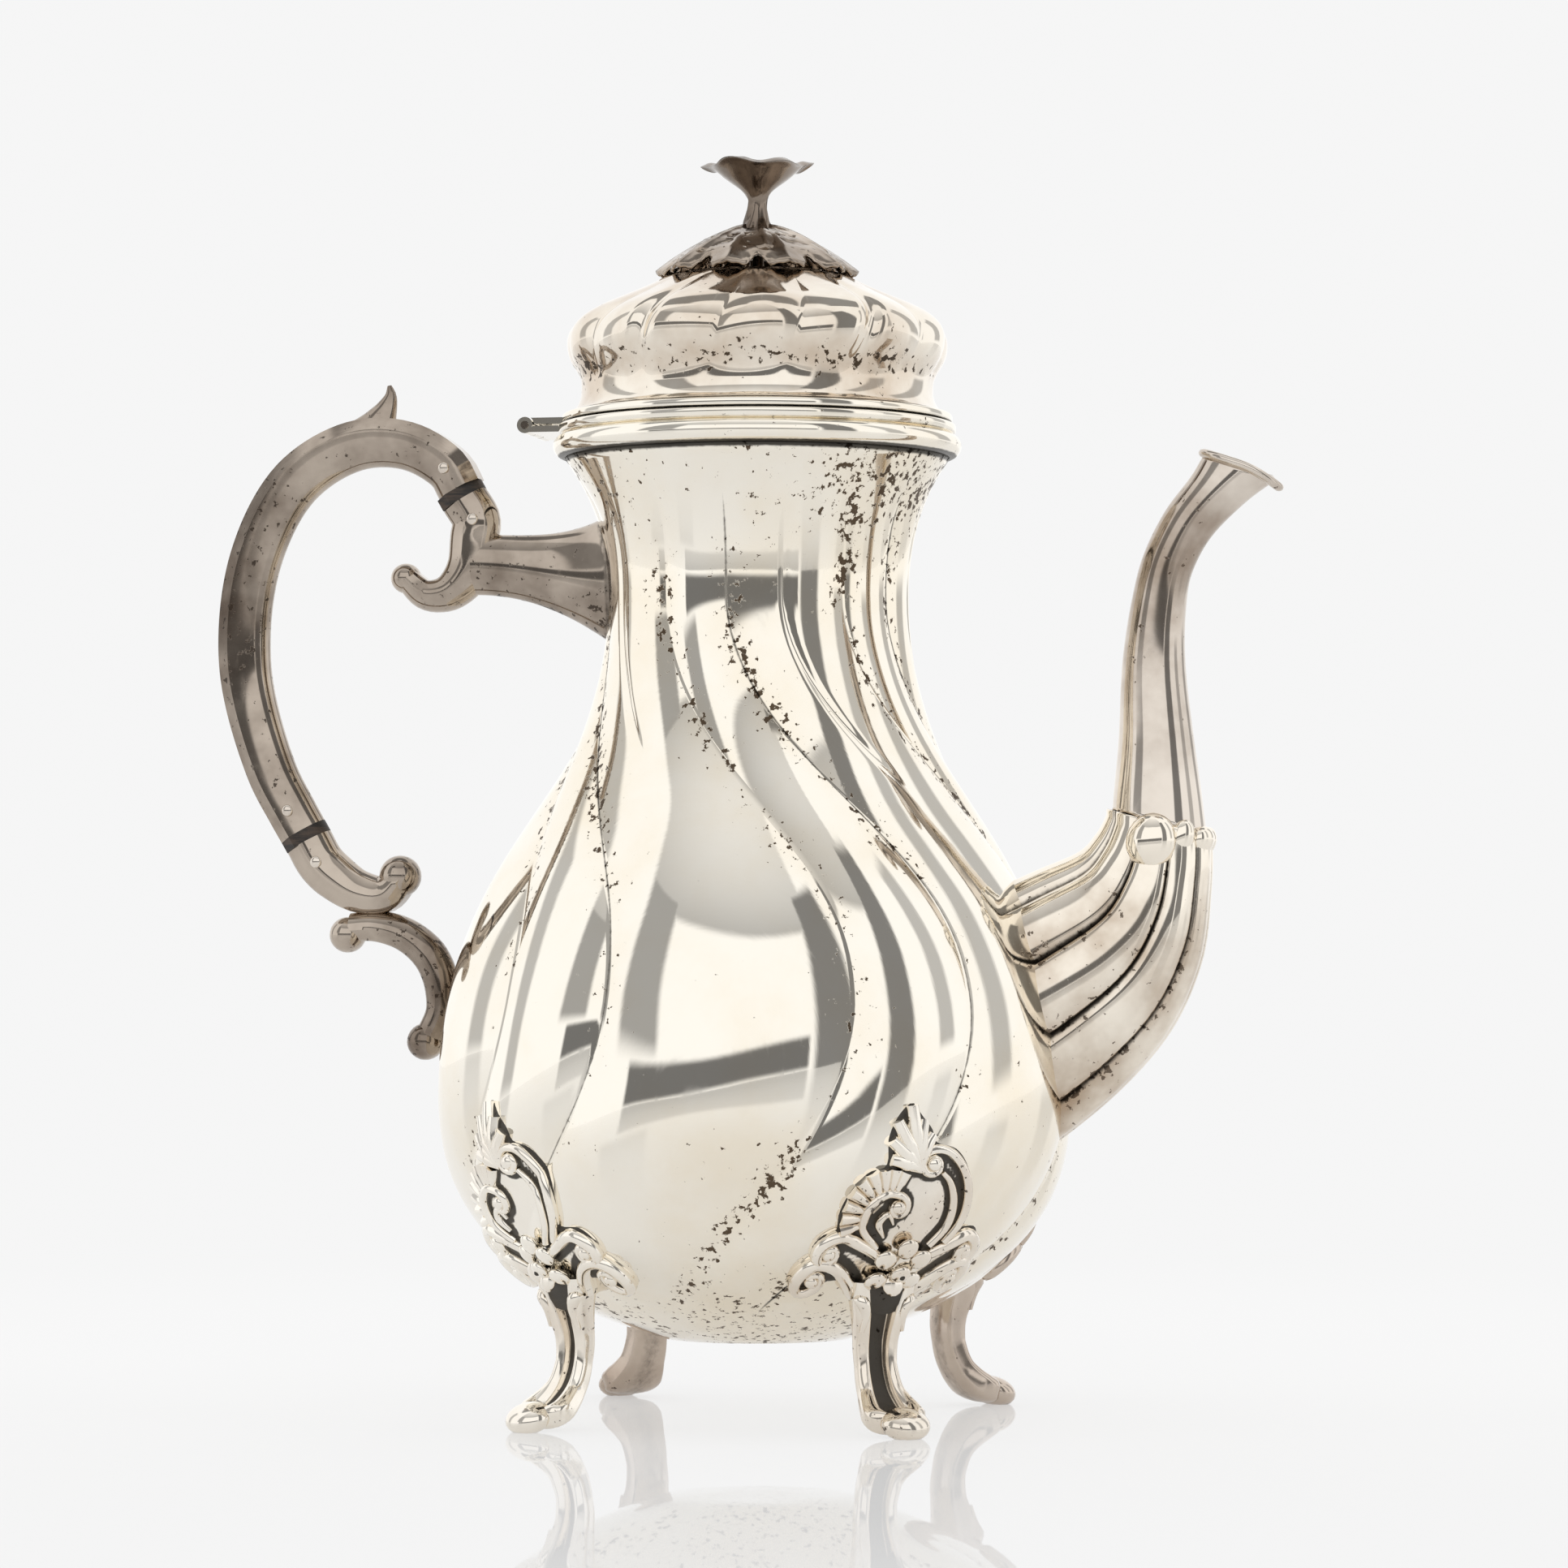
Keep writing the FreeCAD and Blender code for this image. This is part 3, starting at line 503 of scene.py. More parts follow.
# %% The lid
FLANGE_LOW, DOME_LOW, LID_TOP = 205.8, 207.6, 236.4
FLANGE_BORE, FLANGE_EDGE = 37.7, 0.6
foot, hollow, bulge = (39.8, DOME_LOW), (36.6, 212.1), (40.4, 223.0)
lid_side = [foot]
lid_side += bezier((foot, (38.2, DOME_LOW), (36.6, 209.85), hollow), 10)
lid_side += bezier((hollow, (36.6, 217.55), (40.4, 217.55), bulge), 14)
lid_side += bezier((bulge, (40.4, 229.7), (29.7, 230.5), (19.0, LID_TOP)), 22)


def lid_flute(z):
    """Depth of the lid's creases at a height."""
    return 1.7 * ease((z - 212.0) / 8) * ease((LID_TOP - z) / 10)


bm = new_drawing()
turn_outline(bm, lid_side + [(10.0, LID_TOP), (1.7, LID_TOP)], 360)
groove, tarnish = point_values(bm, "groove"), point_values(bm, "tarnish")
for vert in bm.verts:
    x, y, z = vert.co
    radius = math.hypot(x, y)
    turn = math.degrees(math.atan2(y, x))
    inner = ease((radius - 12) / 12)
    share = max(flute_share(turn), 0.8 * bell(turn % PERIOD - 23, 3))
    lean = -73.5 + 14 * (z - DOME_LOW) / (LID_TOP - DOME_LOW) + 26 * (1 - inner)
    depth = lid_flute(z) * inner
    vert.co = polar(radius - depth * share, turn + lean, z - 0.5 * depth * share)
    # The second term paints shade: a dark line round the dome's foot, where it sits on the flange.
    vert[groove] = max(0.55 * clamp(depth) * crease_line(turn, radius),
                       1.1 * bell(z - DOME_LOW, 0.5))
    vert[tarnish] = 0.2 + 0.7 * bell(z - 216.5, 3.5)
dome = keep(bm, "lid_skin", lid_silver, BRIGHT, "lid", "lid_dome", sharp=65, hollow=True)
give_wall(dome, SHEET)

bm = new_drawing()
flange_outline = [(FLANGE_BORE, FLANGE_LOW)]
flange_outline += arc((MOUTH_RADIUS, FLANGE_LOW + FLANGE_EDGE), FLANGE_EDGE, -90, 0, 4)
flange_outline += arc((MOUTH_RADIUS, DOME_LOW - FLANGE_EDGE), FLANGE_EDGE, 0, 90, 4)
flange_outline += [(FLANGE_BORE, DOME_LOW)]
turn_outline(bm, flange_outline, 160, closed=True)
# The groove value here paints shade: a dark line along the flange's underside, where the lid sits on the rim.
groove = point_values(bm, "groove")
for vert in bm.verts:
    vert[groove] = 1.1 * bell(vert.co.z - FLANGE_LOW, 0.35)
keep(bm, "lid_flange_ring", polished, BRIGHT, "lid", "lid_flange")

# %% [markdown]
# Scrolls, handle, spout and legs are all bars: one ring of edges dragged through a row of stations, each
# a matrix that says where the ring stands, how wide it is and which way it faces. Extruding the ring and
# moving it from one station to the next is what a modeller does by hand along a drawn path.

# %% Paths and bars


def through(points, knots, t):
    """A point of the smooth curve through four points, between the middle two."""
    def mix(a, b, i, j):
        return a + (b - a) * ((t - knots[i]) / (knots[j] - knots[i]))

    first = [mix(points[i], points[i + 1], i, i + 1) for i in range(3)]
    second = [mix(first[0], first[1], 0, 2), mix(first[1], first[2], 1, 3)]
    return mix(second[0], second[1], 1, 2)


def smooth_path(points, count):
    """Evenly spaced points on a smooth curve through some points."""
    places = [Vector(point) for point in points]
    places = [2 * places[0] - places[1]] + places + [2 * places[-1] - places[-2]]
    knots = [0.0]
    for a, b in zip(places, places[1:]):
        knots.append(knots[-1] + math.sqrt((b - a).length))
    fine = []
    for k in range(1, len(places) - 2):
        for i in range(20):
            t = knots[k] + (knots[k + 1] - knots[k]) * i / 20
            fine.append(through(places[k - 1:k + 3], knots[k - 1:k + 3], t))
    fine.append(places[-2])
    runs = [0.0]
    for a, b in zip(fine, fine[1:]):
        runs.append(runs[-1] + (b - a).length)
    even = []
    for i in range(count + 1):
        run = runs[-1] * i / count
        k = max(1, min(len(fine) - 1, bisect.bisect(runs, run)))
        share = clamp((run - runs[k - 1]) / (runs[k] - runs[k - 1]))
        even.append(fine[k - 1].lerp(fine[k], share))
    return even


def station(centre, side, front):
    """The matrix that puts a unit ring at a centre with these half axes."""
    placed = Matrix.Identity(4)
    placed.col[0] = side.to_4d()
    placed.col[1] = front.to_4d()
    placed.col[2] = side.cross(front).normalized().to_4d()
    for k in range(3):
        placed.col[k][3] = 0.0
    placed.col[3] = centre.to_4d()
    return placed


def start_ring(bm, count, shape):
    """A closed ring in the XY plane; the shape gives x, y and groove at a share of the way round."""
    made = bmesh.ops.create_circle(bm, segments=count, radius=1.0)
    groove = point_values(bm, "groove")
    for vert in made["verts"]:
        share = (math.atan2(vert.co.y, vert.co.x) / (2 * math.pi)) % 1.0
        vert.co.x, vert.co.y, vert[groove] = shape(share)
    return made["verts"]


def drag(bm, ring, stations, caps=True):
    """Extrude a ring from station to station, and close the two ends."""
    bmesh.ops.transform(bm, matrix=stations[0], verts=ring)
    members = set(ring)
    edges = [edge for edge in bm.edges if edge.verts[0] in members and edge.verts[1] in members]
    ends = list(edges)
    for before, after in zip(stations, stations[1:]):
        made = bmesh.ops.extrude_edge_only(bm, edges=edges)["geom"]
        members = {part for part in made if isinstance(part, bmesh.types.BMVert)}
        bmesh.ops.transform(bm, matrix=after @ before.inverted(), verts=list(members))
        edges = [part for part in made if isinstance(part, bmesh.types.BMEdge)
                 and part.verts[0] in members and part.verts[1] in members]
    if caps:
        bmesh.ops.holes_fill(bm, edges=ends + edges, sides=0)
    return list(members)


def oval_shape(share):
    """A plain round section."""
    return math.cos(2 * math.pi * share), math.sin(2 * math.pi * share), 0.0


def between(values, share):
    """The value at a share of the way along an even list."""
    spot = share * (len(values) - 1)
    k = min(int(spot), len(values) - 2)
    return values[k] + (values[k + 1] - values[k]) * (spot - k)


def upright_bar(bm, shape, count, path, steps, widths, depths):
    """Drag a ring along a path of (x, z) points in the handle's plane; the width lies in that plane."""
    spots = smooth_path([(x, 0, z) for x, z in path], steps)
    stations = []
    for i, spot in enumerate(spots):
        along = (spots[min(i + 1, steps)] - spots[max(i - 1, 0)]).normalized()
        share = i / steps
        front = Vector((-along.z, 0, along.x)) * (between(widths, share) / 2)
        stations.append(station(spot, Vector((0, between(depths, share) / 2, 0)), front))
    drag(bm, start_ring(bm, count, shape), stations)
    return spots


print("bars ready")

# %% [markdown]
# The grip is cast in one C. Its section is rounded towards the hand with a flat back, and a line runs
# along each side where the two meet. A leaf-shaped spur for the thumb stands on top. Two rivets cross
# each joint, so that the insulating discs can't turn.

# %% Grip and rivets


def ridged_shape(ridge, back=0.55):
    """A section that is round in front and flat behind, with an edge along each side."""
    def shape(share):
        if share <= 0.5:
            angle = 2 * math.pi * share
            return math.cos(angle), -ridge + (1 + ridge) * math.sin(angle), 0.0
        way = (share - 0.5) * 2
        if way < 0.25:
            x = -1 + (1 - back) * way / 0.25
            y = -ridge - (1 - ridge) * way / 0.25
        elif way <= 0.75:
            x, y = back * (way - 0.5) / 0.25, -1.0
        else:
            x = back + (1 - back) * (way - 0.75) / 0.25
            y = -1 + (1 - ridge) * (way - 0.75) / 0.25
        return x, y, 0.0
    return shape


UPPER_END, LOWER_END = Vector((-63.7, 0, 193.1)), Vector((-97.5, 0, 121.4))
DOWN = Vector((0.5, 0, -0.8660254))
INSULATOR = 2.5
GRIP_PATH = ((-63.7, 193.1), (-66.2, 197.43), (-75.0, 202.5), (-86.5, 202.6), (-99.4, 195.0),
             (-108.2, 178.5), (-110.3, 156.3), (-104.7, 134.8), (-100.0, 125.73), (-97.5, 121.4))
bm = new_drawing()
upright_bar(bm, ridged_shape(0.5), 32, GRIP_PATH, 72, (9.9, 10.6, 10.6, 9.9), (9.4, 10.0, 10.0, 9.4))
spur_path = ((-82.4, 205.6), (-81.0, 208.2), (-79.6, 211.0), (-78.9, 213.4), (-79.2, 215.4))
upright_bar(bm, oval_shape, 20, spur_path, 14, (10.6, 7.4, 5.0, 3.0, 0.9), (6.0, 4.6, 3.4, 2.4, 0.8))
keep(bm, "grip_casting", handle_silver, CAST, "pot", "handle_grip", sharp=40, tarnish=0.6)

bm = new_drawing()
for end in (UPPER_END, LOWER_END):
    for spot in (end - DOWN * 5.0, end + DOWN * (INSULATOR + 5.0)):
        for side in (-1, 1):
            made = bmesh.ops.create_uvsphere(bm, u_segments=16, v_segments=8, radius=1.25)
            bmesh.ops.scale(bm, verts=made["verts"], vec=(1, 0.45, 1))
            bmesh.ops.translate(bm, verts=made["verts"], vec=spot + Vector((0, side * 4.75, 0)))
keep(bm, "handle_rivets", spout_silver, CAST, "pot", "handle_pins")

# %% [markdown]
# Each end of the handle is a scroll: a bar that starts square to the insulator, bends under and ends in a
# rounded volute. The upper one sits on a flared stem from the neck, the lower one on a second scroll that
# is soldered to the belly. Bars with shrinking width give the taper, and a flattened ball ends each curl.

# %% Scrolls and stem


def volute(bm, x, z, radius, depth):
    """The rounded knob at the end of a scroll, flattened on its two sides."""
    made = bmesh.ops.create_uvsphere(bm, u_segments=28, v_segments=16, radius=1.0)
    for vert in made["verts"]:
        y = vert.co.z
        ring = math.sqrt(max(0.0, 1 - abs(y) ** 2.2))
        flat = Vector((vert.co.x, vert.co.y))
        flat = flat.normalized() * ring if flat.length > 1e-6 else flat
        vert.co = Vector((x + radius * flat.x, y * depth / 2, z + radius * flat.y))
    set_groove(bm, made["verts"], 0.0)


def scroll_start(end):
    """The first two points of a scroll that leaves the far side of an insulator."""
    first = end + DOWN * INSULATOR
    second = first + DOWN * 5.0
    return (first.x, first.z), (second.x, second.z)


upper_scroll = scroll_start(UPPER_END)
upper_scroll += ((-60.4, 183.0), (-61.6, 176.0), (-66.0, 171.4), (-71.0, 171.0), (-74.9, 174.1))
bm = new_drawing()
upright_bar(bm, ridged_shape(0.25), 28, upper_scroll, 36,
            (9.9, 9.9, 9.4, 7.0, 5.4), (9.4, 9.4, 9.2, 8.8, 8.0))
volute(bm, -75.4, 174.6, 3.2, 8.0)
keep(bm, "upper_scroll", handle_silver, CAST, "pot", "upper_socket", sharp=45, tarnish=0.6)

lower_scroll = scroll_start(LOWER_END)
lower_scroll += ((-90.6, 111.9), (-85.5, 108.8), (-80.0, 108.2), (-76.4, 111.6))
bm = new_drawing()
upright_bar(bm, ridged_shape(0.25), 28, lower_scroll, 32, (9.9, 9.9, 8.6, 6.8), (9.4, 9.4, 9.4, 9.4))
volute(bm, -76.6, 111.9, 4.4, 9.6)
keep(bm, "lower_scroll", handle_silver, CAST, "pot", "lower_socket", sharp=45, tarnish=0.6)

bracket = ((-87.0, 101.2), (-81.4, 101.4), (-75.3, 99.7), (-70.0, 95.4),
           (-67.4, 89.6), (-67.2, 83.6), (-69.6, 78.6))
bm = new_drawing()
upright_bar(bm, ridged_shape(0.25), 28, bracket, 36, (6.0, 6.8, 7.2, 7.0, 6.0), (8.0, 8.8, 9.0, 8.8, 8.0))
volute(bm, -88.0, 99.6, 3.8, 9.0)
volute(bm, -71.0, 77.2, 3.9, 9.0)
keep(bm, "belly_scroll", handle_silver, CAST, "pot", "lower_bracket", sharp=45, tarnish=0.6)

STEM_TIP, STEM_ROOT, STEM_STEPS = -60.5, -27.0, 28
STEM_SOAK = 0.6
bm = new_drawing()
stations = []
for i in range(STEM_STEPS + 1):
    share = i / STEM_STEPS
    flare = share ** 2.6
    centre = Vector((STEM_TIP + (STEM_ROOT - STEM_TIP) * share, 0, 177.3 - 3.4 * ease(share)))
    half_width = Vector((0, 4.4 + 4.6 * flare, 0))
    half_height = Vector((0, 0, 6.4 + 10.1 * flare))
    stations.append(station(centre, half_width, half_height))
drag(bm, start_ring(bm, 48, oval_shape), stations)
groove = point_values(bm, "groove")
for vert in bm.verts:
    wall_x = -math.sqrt(skin_radius(180.0, vert.co.z) ** 2 - vert.co.y ** 2)
    vert.co.x = min(vert.co.x, wall_x + STEM_SOAK)
    vert[groove] = 0.75 * bell(wall_x - vert.co.x, 1.6)
keep(bm, "neck_stem", handle_silver, CAST, "pot", "upper_stem", tarnish=0.9)

# %% [markdown]
# The spout has a lobed sheath at the belly and a plain neck that rises from it in an S, ending in a beaded
# lip that droops at the front to cut the stream. The sheath is one ring of ten lobes dragged up the path;
# the lobes are an extra rise on the ring, so they narrow with the spout by themselves. Where the sheath ends
# a round knob sits on the lobe at each side, with smaller ones towards the front.

# %% Spout
LOBES = 10


def spout_station(x, z, tilt, height, width):
    """Where the spout's ring stands, by its centre, its lean in degrees and its two widths."""
    angle = math.radians(tilt)
    up = Vector((-math.sin(angle), 0, math.cos(angle))) * (height / 2)
    return station(Vector((x, 0, z)), Vector((0, width / 2, 0)), up)


def spout_stations(rows, count):
    """Even steps along a smooth curve through rows of x, z, tilt, height and width."""
    return [spout_station(*row) for row in smooth_path(rows, count)]


def lobed_shape(share):
    """Ten convex lobes round an oval, meeting in grooves."""
    way = (share * LOBES + 0.5) % 1.0
    swell = 1 - (2 * way - 1) ** 2
    reach = 0.9 + 0.1 * math.sqrt(swell)
    x, y = oval_shape(share)[:2]
    near = min(way, 1 - way)
    return x * reach, y * reach, max(bell(near, 0.07), 0.63 * bell(near, 0.15))


SHEATH = ((50.0, 79.0, 12.0, 57.0, 37.0), (66.6, 89.7, 18.6, 50.0, 34.0), (76.4, 97.6, 25.0, 42.9, 30.0),
          (81.8, 107.1, 39.0, 34.7, 26.0), (83.8, 116.1, 54.0, 27.0, 23.0), (84.0, 122.6, 75.0, 22.4, 21.6))
NECK = ((84.0, 122.6, 75.0, 20.0, 19.4), (83.4, 138.7, 90.0, 15.7, 16.2), (82.9, 155.2, 89.0, 13.0, 13.6),
        (84.0, 167.5, 80.0, 11.3, 12.0), (86.3, 176.8, 66.0, 10.7, 11.0), (90.2, 183.9, 61.0, 11.0, 10.4),
        (96.4, 190.8, 66.0, 12.7, 10.0), (100.6, 195.0, 71.0, 15.8, 9.6))
bm = new_drawing()
drag(bm, start_ring(bm, 160, lobed_shape), spout_stations(SHEATH, 40), caps=False)
groove, tarnish = point_values(bm, "groove"), point_values(bm, "tarnish")
for vert in bm.verts:
    vert[tarnish] = 0.3 + 0.7 * min(1.0, 1.9 * vert[groove])
SHEATH_END = spout_station(84.0, 120.6, 75.0, 2.0, 2.0)
KNOBS = (((0, 5), (4.2, 5.2, 6.0), -2.2), ((9, 6), (2.0, 2.6, 4.0), 0.0), ((8, 7), (2.1, 3.6, 3.0), 0.6))
for lobes, (out, across, along), up in KNOBS:
    for lobe in lobes:
        way = 2 * math.pi * lobe / LOBES
        knob = bmesh.ops.create_uvsphere(bm, u_segments=20, v_segments=12, radius=1.0)["verts"]
        bmesh.ops.transform(bm, matrix=Matrix.Diagonal((out, across, along, 1)), verts=knob)
        bmesh.ops.rotate(bm, verts=knob, matrix=Matrix.Rotation(way, 3, "Z"))
        bmesh.ops.translate(bm, verts=knob, vec=(9.4 * math.cos(way), 9.8 * math.sin(way), up))
        bmesh.ops.transform(bm, matrix=SHEATH_END, verts=knob)
sheath = keep(bm, "spout_sheath_skin", sheath_silver, CAST, "pot", "spout_sheath", sharp=60, hollow=True)
bm = new_drawing()
drag(bm, start_ring(bm, 64, oval_shape), spout_stations(NECK, 72), caps=False)
neck = keep(bm, "spout_neck_skin", spout_silver, CAST, "pot", "spout_neck", hollow=True)
for piece in (sheath, neck):
    give_wall(piece, CAST_SHEET)

# %% [markdown]
# The lip is a bead soldered round the spout's mouth. It follows the mouth's oval, but its front sinks and
# reaches out a little, so it is a small ring dragged once round a closed loop of stations.

# %% Spout lip
LIP_CENTRE, LIP_TILT = Vector((100.6, 0, 195.0)), math.radians(71.0)
LIP_HALF_HEIGHT, LIP_HALF_WIDTH, LIP_STEPS = 7.9, 4.8, 72
lip_up = Vector((-math.sin(LIP_TILT), 0, math.cos(LIP_TILT)))
lip_out = Vector((math.cos(LIP_TILT), 0, math.sin(LIP_TILT)))


def lip_spot(turn):
    """A point on the mouth's edge, by an angle from its back."""
    front = max(0.0, -math.cos(turn)) ** 2
    spot = LIP_CENTRE + lip_up * (LIP_HALF_HEIGHT * math.cos(turn))
    spot += Vector((0, LIP_HALF_WIDTH * math.sin(turn), 0)) + lip_out * (0.5 - 2.0 * front)
    return spot + Vector((0.9 * front, 0, 0))


bm = new_drawing()
stations = []
for i in range(LIP_STEPS + 1):
    turn = 2 * math.pi * i / LIP_STEPS
    along = (lip_spot(turn + 0.02) - lip_spot(turn - 0.02)).normalized()
    out = along.cross(lip_out).normalized()
    stations.append(station(lip_spot(turn), out * 1.15, along.cross(out) * 0.95))
drag(bm, start_ring(bm, 14, oval_shape), stations, caps=False)
keep(bm, "spout_lip_bead", spout_silver, CAST, "pot", "spout_lip")

# %% [markdown]
# The feet are small castings: a leg with a channel between two raised edges, an outward toe, and above it
# a spread of scrolls, a shell and a flower that lies on the belly. The leg is a bar again. The ornament is
# drawn flat, as millimetres across and up, and every point is laid on the fluted skin. The two back feet
# get a darker, duller finish.

# %% Legs


def leg_shape(share):
    """A leg's section: two raised edges with a channel between them in front, flat behind."""
    angle = 2 * math.pi * share
    x, y = math.cos(angle), math.sin(angle)
    if y <= 0:
        return x * 0.92, -0.75 * abs(y) ** 0.5, 0.62 * abs(y)
    across = abs(x)
    crest = ease((across - 0.36) / 0.14)
    edge = math.sqrt(max(0.0, 1 - ((across - 0.7) / 0.31) ** 2)) if across > 0.36 else 0.0
    return x, 0.22 + crest * (0.1 + 0.68 * edge), 1.0 - ease((across - 0.3) / 0.16)


LEG_PATH = ((47.4, 31.0), (46.8, 25.0), (45.6, 16.5), (47.4, 9.0), (51.6, 4.2), (54.6, 2.8), (57.2, 2.4))
LEG_STEPS = 34
FEET = {"foot_front_right": -48.0, "foot_front_left": -131.0,
        "foot_back_left": 132.0, "foot_back_right": 41.0}


def leg(bm, angle):
    """One cabriole leg at an angle about the axis, cut flat at the table."""
    outward = polar(1.0, angle, 0.0)
    across = Vector((-outward.y, outward.x, 0))
    spots = smooth_path([(r, 0, z) for r, z in LEG_PATH], LEG_STEPS)
    stations = []
    for i, spot in enumerate(spots):
        share = i / LEG_STEPS
        along = (spots[min(i + 1, LEG_STEPS)] - spots[max(i - 1, 0)]).normalized()
        normal = outward * -along.z + Vector((0, 0, along.x))
        tip = 1.0 if share < 0.9 else math.sqrt(max(0.02, 1 - ((share - 0.9) / 0.105) ** 2))
        width = between((15.5, 12.0, 9.6, 9.0, 10.0, 13.4, 13.4), share) * tip
        depth = between((9.0, 7.6, 6.0, 5.4, 5.6, 6.6, 6.0), share) * (0.4 + 0.6 * tip)
        centre = outward * spot.x + Vector((0, 0, spot.z))
        stations.append(station(centre, across * (width / 2), normal * (depth / 2)))
    drag(bm, start_ring(bm, 64, leg_shape), stations)
    pad = bmesh.ops.create_uvsphere(bm, u_segments=24, v_segments=14, radius=1.0)["verts"]
    placed = station(polar(57.6, angle, 2.8), across * 5.2, Vector((0, 0, 3.3)) + outward * -1.2)
    placed.col[2] = (outward * 4.4).to_4d()
    placed.col[2][3] = 0.0
    bmesh.ops.transform(bm, matrix=placed, verts=pad)
    for vert in bm.verts:
        vert.co.z = max(vert.co.z, 0.0)


print("legs at", sorted(FEET.values()), "degrees")

# %% [markdown]
# A strand of the ornament is a tapering half-round bar on the skin. Most strands end in a curl, which is a
# spiral added to the drawn points. The shell and the leaf are fans of strands, and the flower is a ring of
# flattened petals round a button.

# %% Ornament on the belly


def on_skin(angle, across, z, lift):
    """A point lifted off the skin, by millimetres across from a foot's middle and a height."""
    radius = side_radius(z)
    degrees = angle + math.degrees(across / radius)
    slope = (side_radius(z + 0.5) - side_radius(z - 0.5))
    away = Vector((1.0, 0.0, -slope)).normalized()
    knee = (48.1 + 0.3 * (z - 20)) * (1 - 0.35 * ease((abs(across) - 4) / 9))
    away = away.lerp(Vector((1, 0, 0)), ease((knee - skin_radius(degrees, z)) / 2))
    return polar(max(skin_radius(degrees, z), knee) + lift * away.x, degrees, z + lift * away.z)


def curl(points, centre, turns):
    """A drawn line carried on into a spiral about a centre; the sign of turns is its direction."""
    last = points[-1]
    reach = math.hypot(last[0] - centre[0], last[1] - centre[1])
    begin = math.atan2(last[1] - centre[1], last[0] - centre[0])
    count = int(8 * abs(turns))
    spiral = []
    for i in range(1, count + 1):
        share = i / count
        angle = begin + 2 * math.pi * turns * share
        size = reach * (1 - 0.72 * share)
        spiral.append((centre[0] + size * math.cos(angle), centre[1] + size * math.sin(angle)))
    return list(points) + spiral


drawn = []


def strand(bm, angle, points, widths, steps, lift=0.5):
    """A half-round bar along drawn (across, height) points, its width running through a list."""
    line = smooth_path([(u, z, 0) for u, z in points], steps)
    stations = []
    for i, spot in enumerate(line):
        width = between(widths, i / steps)
        drawn.append((spot.x, spot.y, width / 2))
        here = on_skin(angle, spot.x, spot.y, lift)
        ahead = line[min(i + 1, steps)]
        behind = line[max(i - 1, 0)]
        along = on_skin(angle, ahead.x, ahead.y, lift) - on_skin(angle, behind.x, behind.y, lift)
        normal = (on_skin(angle, spot.x, spot.y, lift + 1) - here).normalized()
        side = along.cross(normal).normalized()
        stations.append(station(here, side * (width / 2), normal * (0.42 * width + 0.35)))
    drag(bm, start_ring(bm, 10, oval_shape), stations)


def petal(bm, angle, across, z, length, width, turn, lift):
    """A flattened petal on the skin, pointing a way by an angle in the drawing."""
    made = bmesh.ops.create_uvsphere(bm, u_segments=14, v_segments=8, radius=1.0)
    here = on_skin(angle, across, z, lift)
    normal = (on_skin(angle, across, z, lift + 1) - here).normalized()
    right = (on_skin(angle, across + 1, z, lift) - here).normalized()
    up = normal.cross(right).normalized()
    way = right * math.cos(turn) + up * math.sin(turn)
    placed = station(here, way * (length / 2), normal.cross(way) * (width / 2))
    placed.col[2] = (normal * 1.1).to_4d()
    placed.col[2][3] = 0.0
    bmesh.ops.transform(bm, matrix=placed, verts=made["verts"])
    return made["verts"]


EDGE_POINTS = ((-5, 26), (-10, 31), (-18, 29.4), (-19.6, 32), (-17, 35.2), (-19.4, 38), (-18, 40.6),
               (-15.8, 41.2), (-16.2, 45), (-15, 49), (-11.6, 53), (-8, 54.2), (-8, 60), (-5.8, 64.5),
               (-3, 66.6), (-0.4, 64), (2.8, 61), (4, 58.8), (8.8, 57.2), (12, 53), (12.7, 47), (11.4, 42),
               (17, 41.4), (19.2, 38.4), (17, 35.2), (19.6, 32), (18, 29.4), (10, 31), (5, 26), (0, 24),
               (-5, 26))
EDGE = [(spot.x, spot.y) for spot in smooth_path([(u, z, 0) for u, z in EDGE_POINTS], 150)]


def inside_edge(u, z):
    """True within the ornament's outline."""
    inside = False
    for (u0, z0), (u1, z1) in zip(EDGE, EDGE[1:]):
        if (z0 > z) != (z1 > z) and u < u0 + (u1 - u0) * (z - z0) / (z1 - z0):
            inside = not inside
    return inside


def backplate(bm, angle):
    """The thin plate under the strands, trimmed to the outline and laid on the skin."""
    made = bmesh.ops.create_grid(bm, x_segments=70, y_segments=70, size=21.0)["verts"]
    bmesh.ops.translate(bm, verts=made, vec=(0, 46.5, 0))
    faces = {face for vert in made for face in vert.link_faces}
    outer = [face for face in faces if not inside_edge(*face.calc_center_median()[:2])]
    bmesh.ops.delete(bm, geom=outer, context="FACES")
    groove = point_values(bm, "groove")
    for vert in made:
        if vert.is_valid:
            u, z = vert.co.x, vert.co.y
            if vert.is_boundary:
                u, z = min(EDGE, key=lambda spot: math.hypot(spot[0] - u, spot[1] - z))
            gap = min(math.hypot(u - a, z - b) - half for a, b, half in drawn)
            throat = ease((7 - abs(u)) / 3) * ease((34 - z) / 3)
            vert[groove] = 1.05 * max(1 - ease((gap - 0.4) / 1.3), throat)
            vert.co = on_skin(angle, u, z, 0.0 if vert.is_boundary else 0.35)


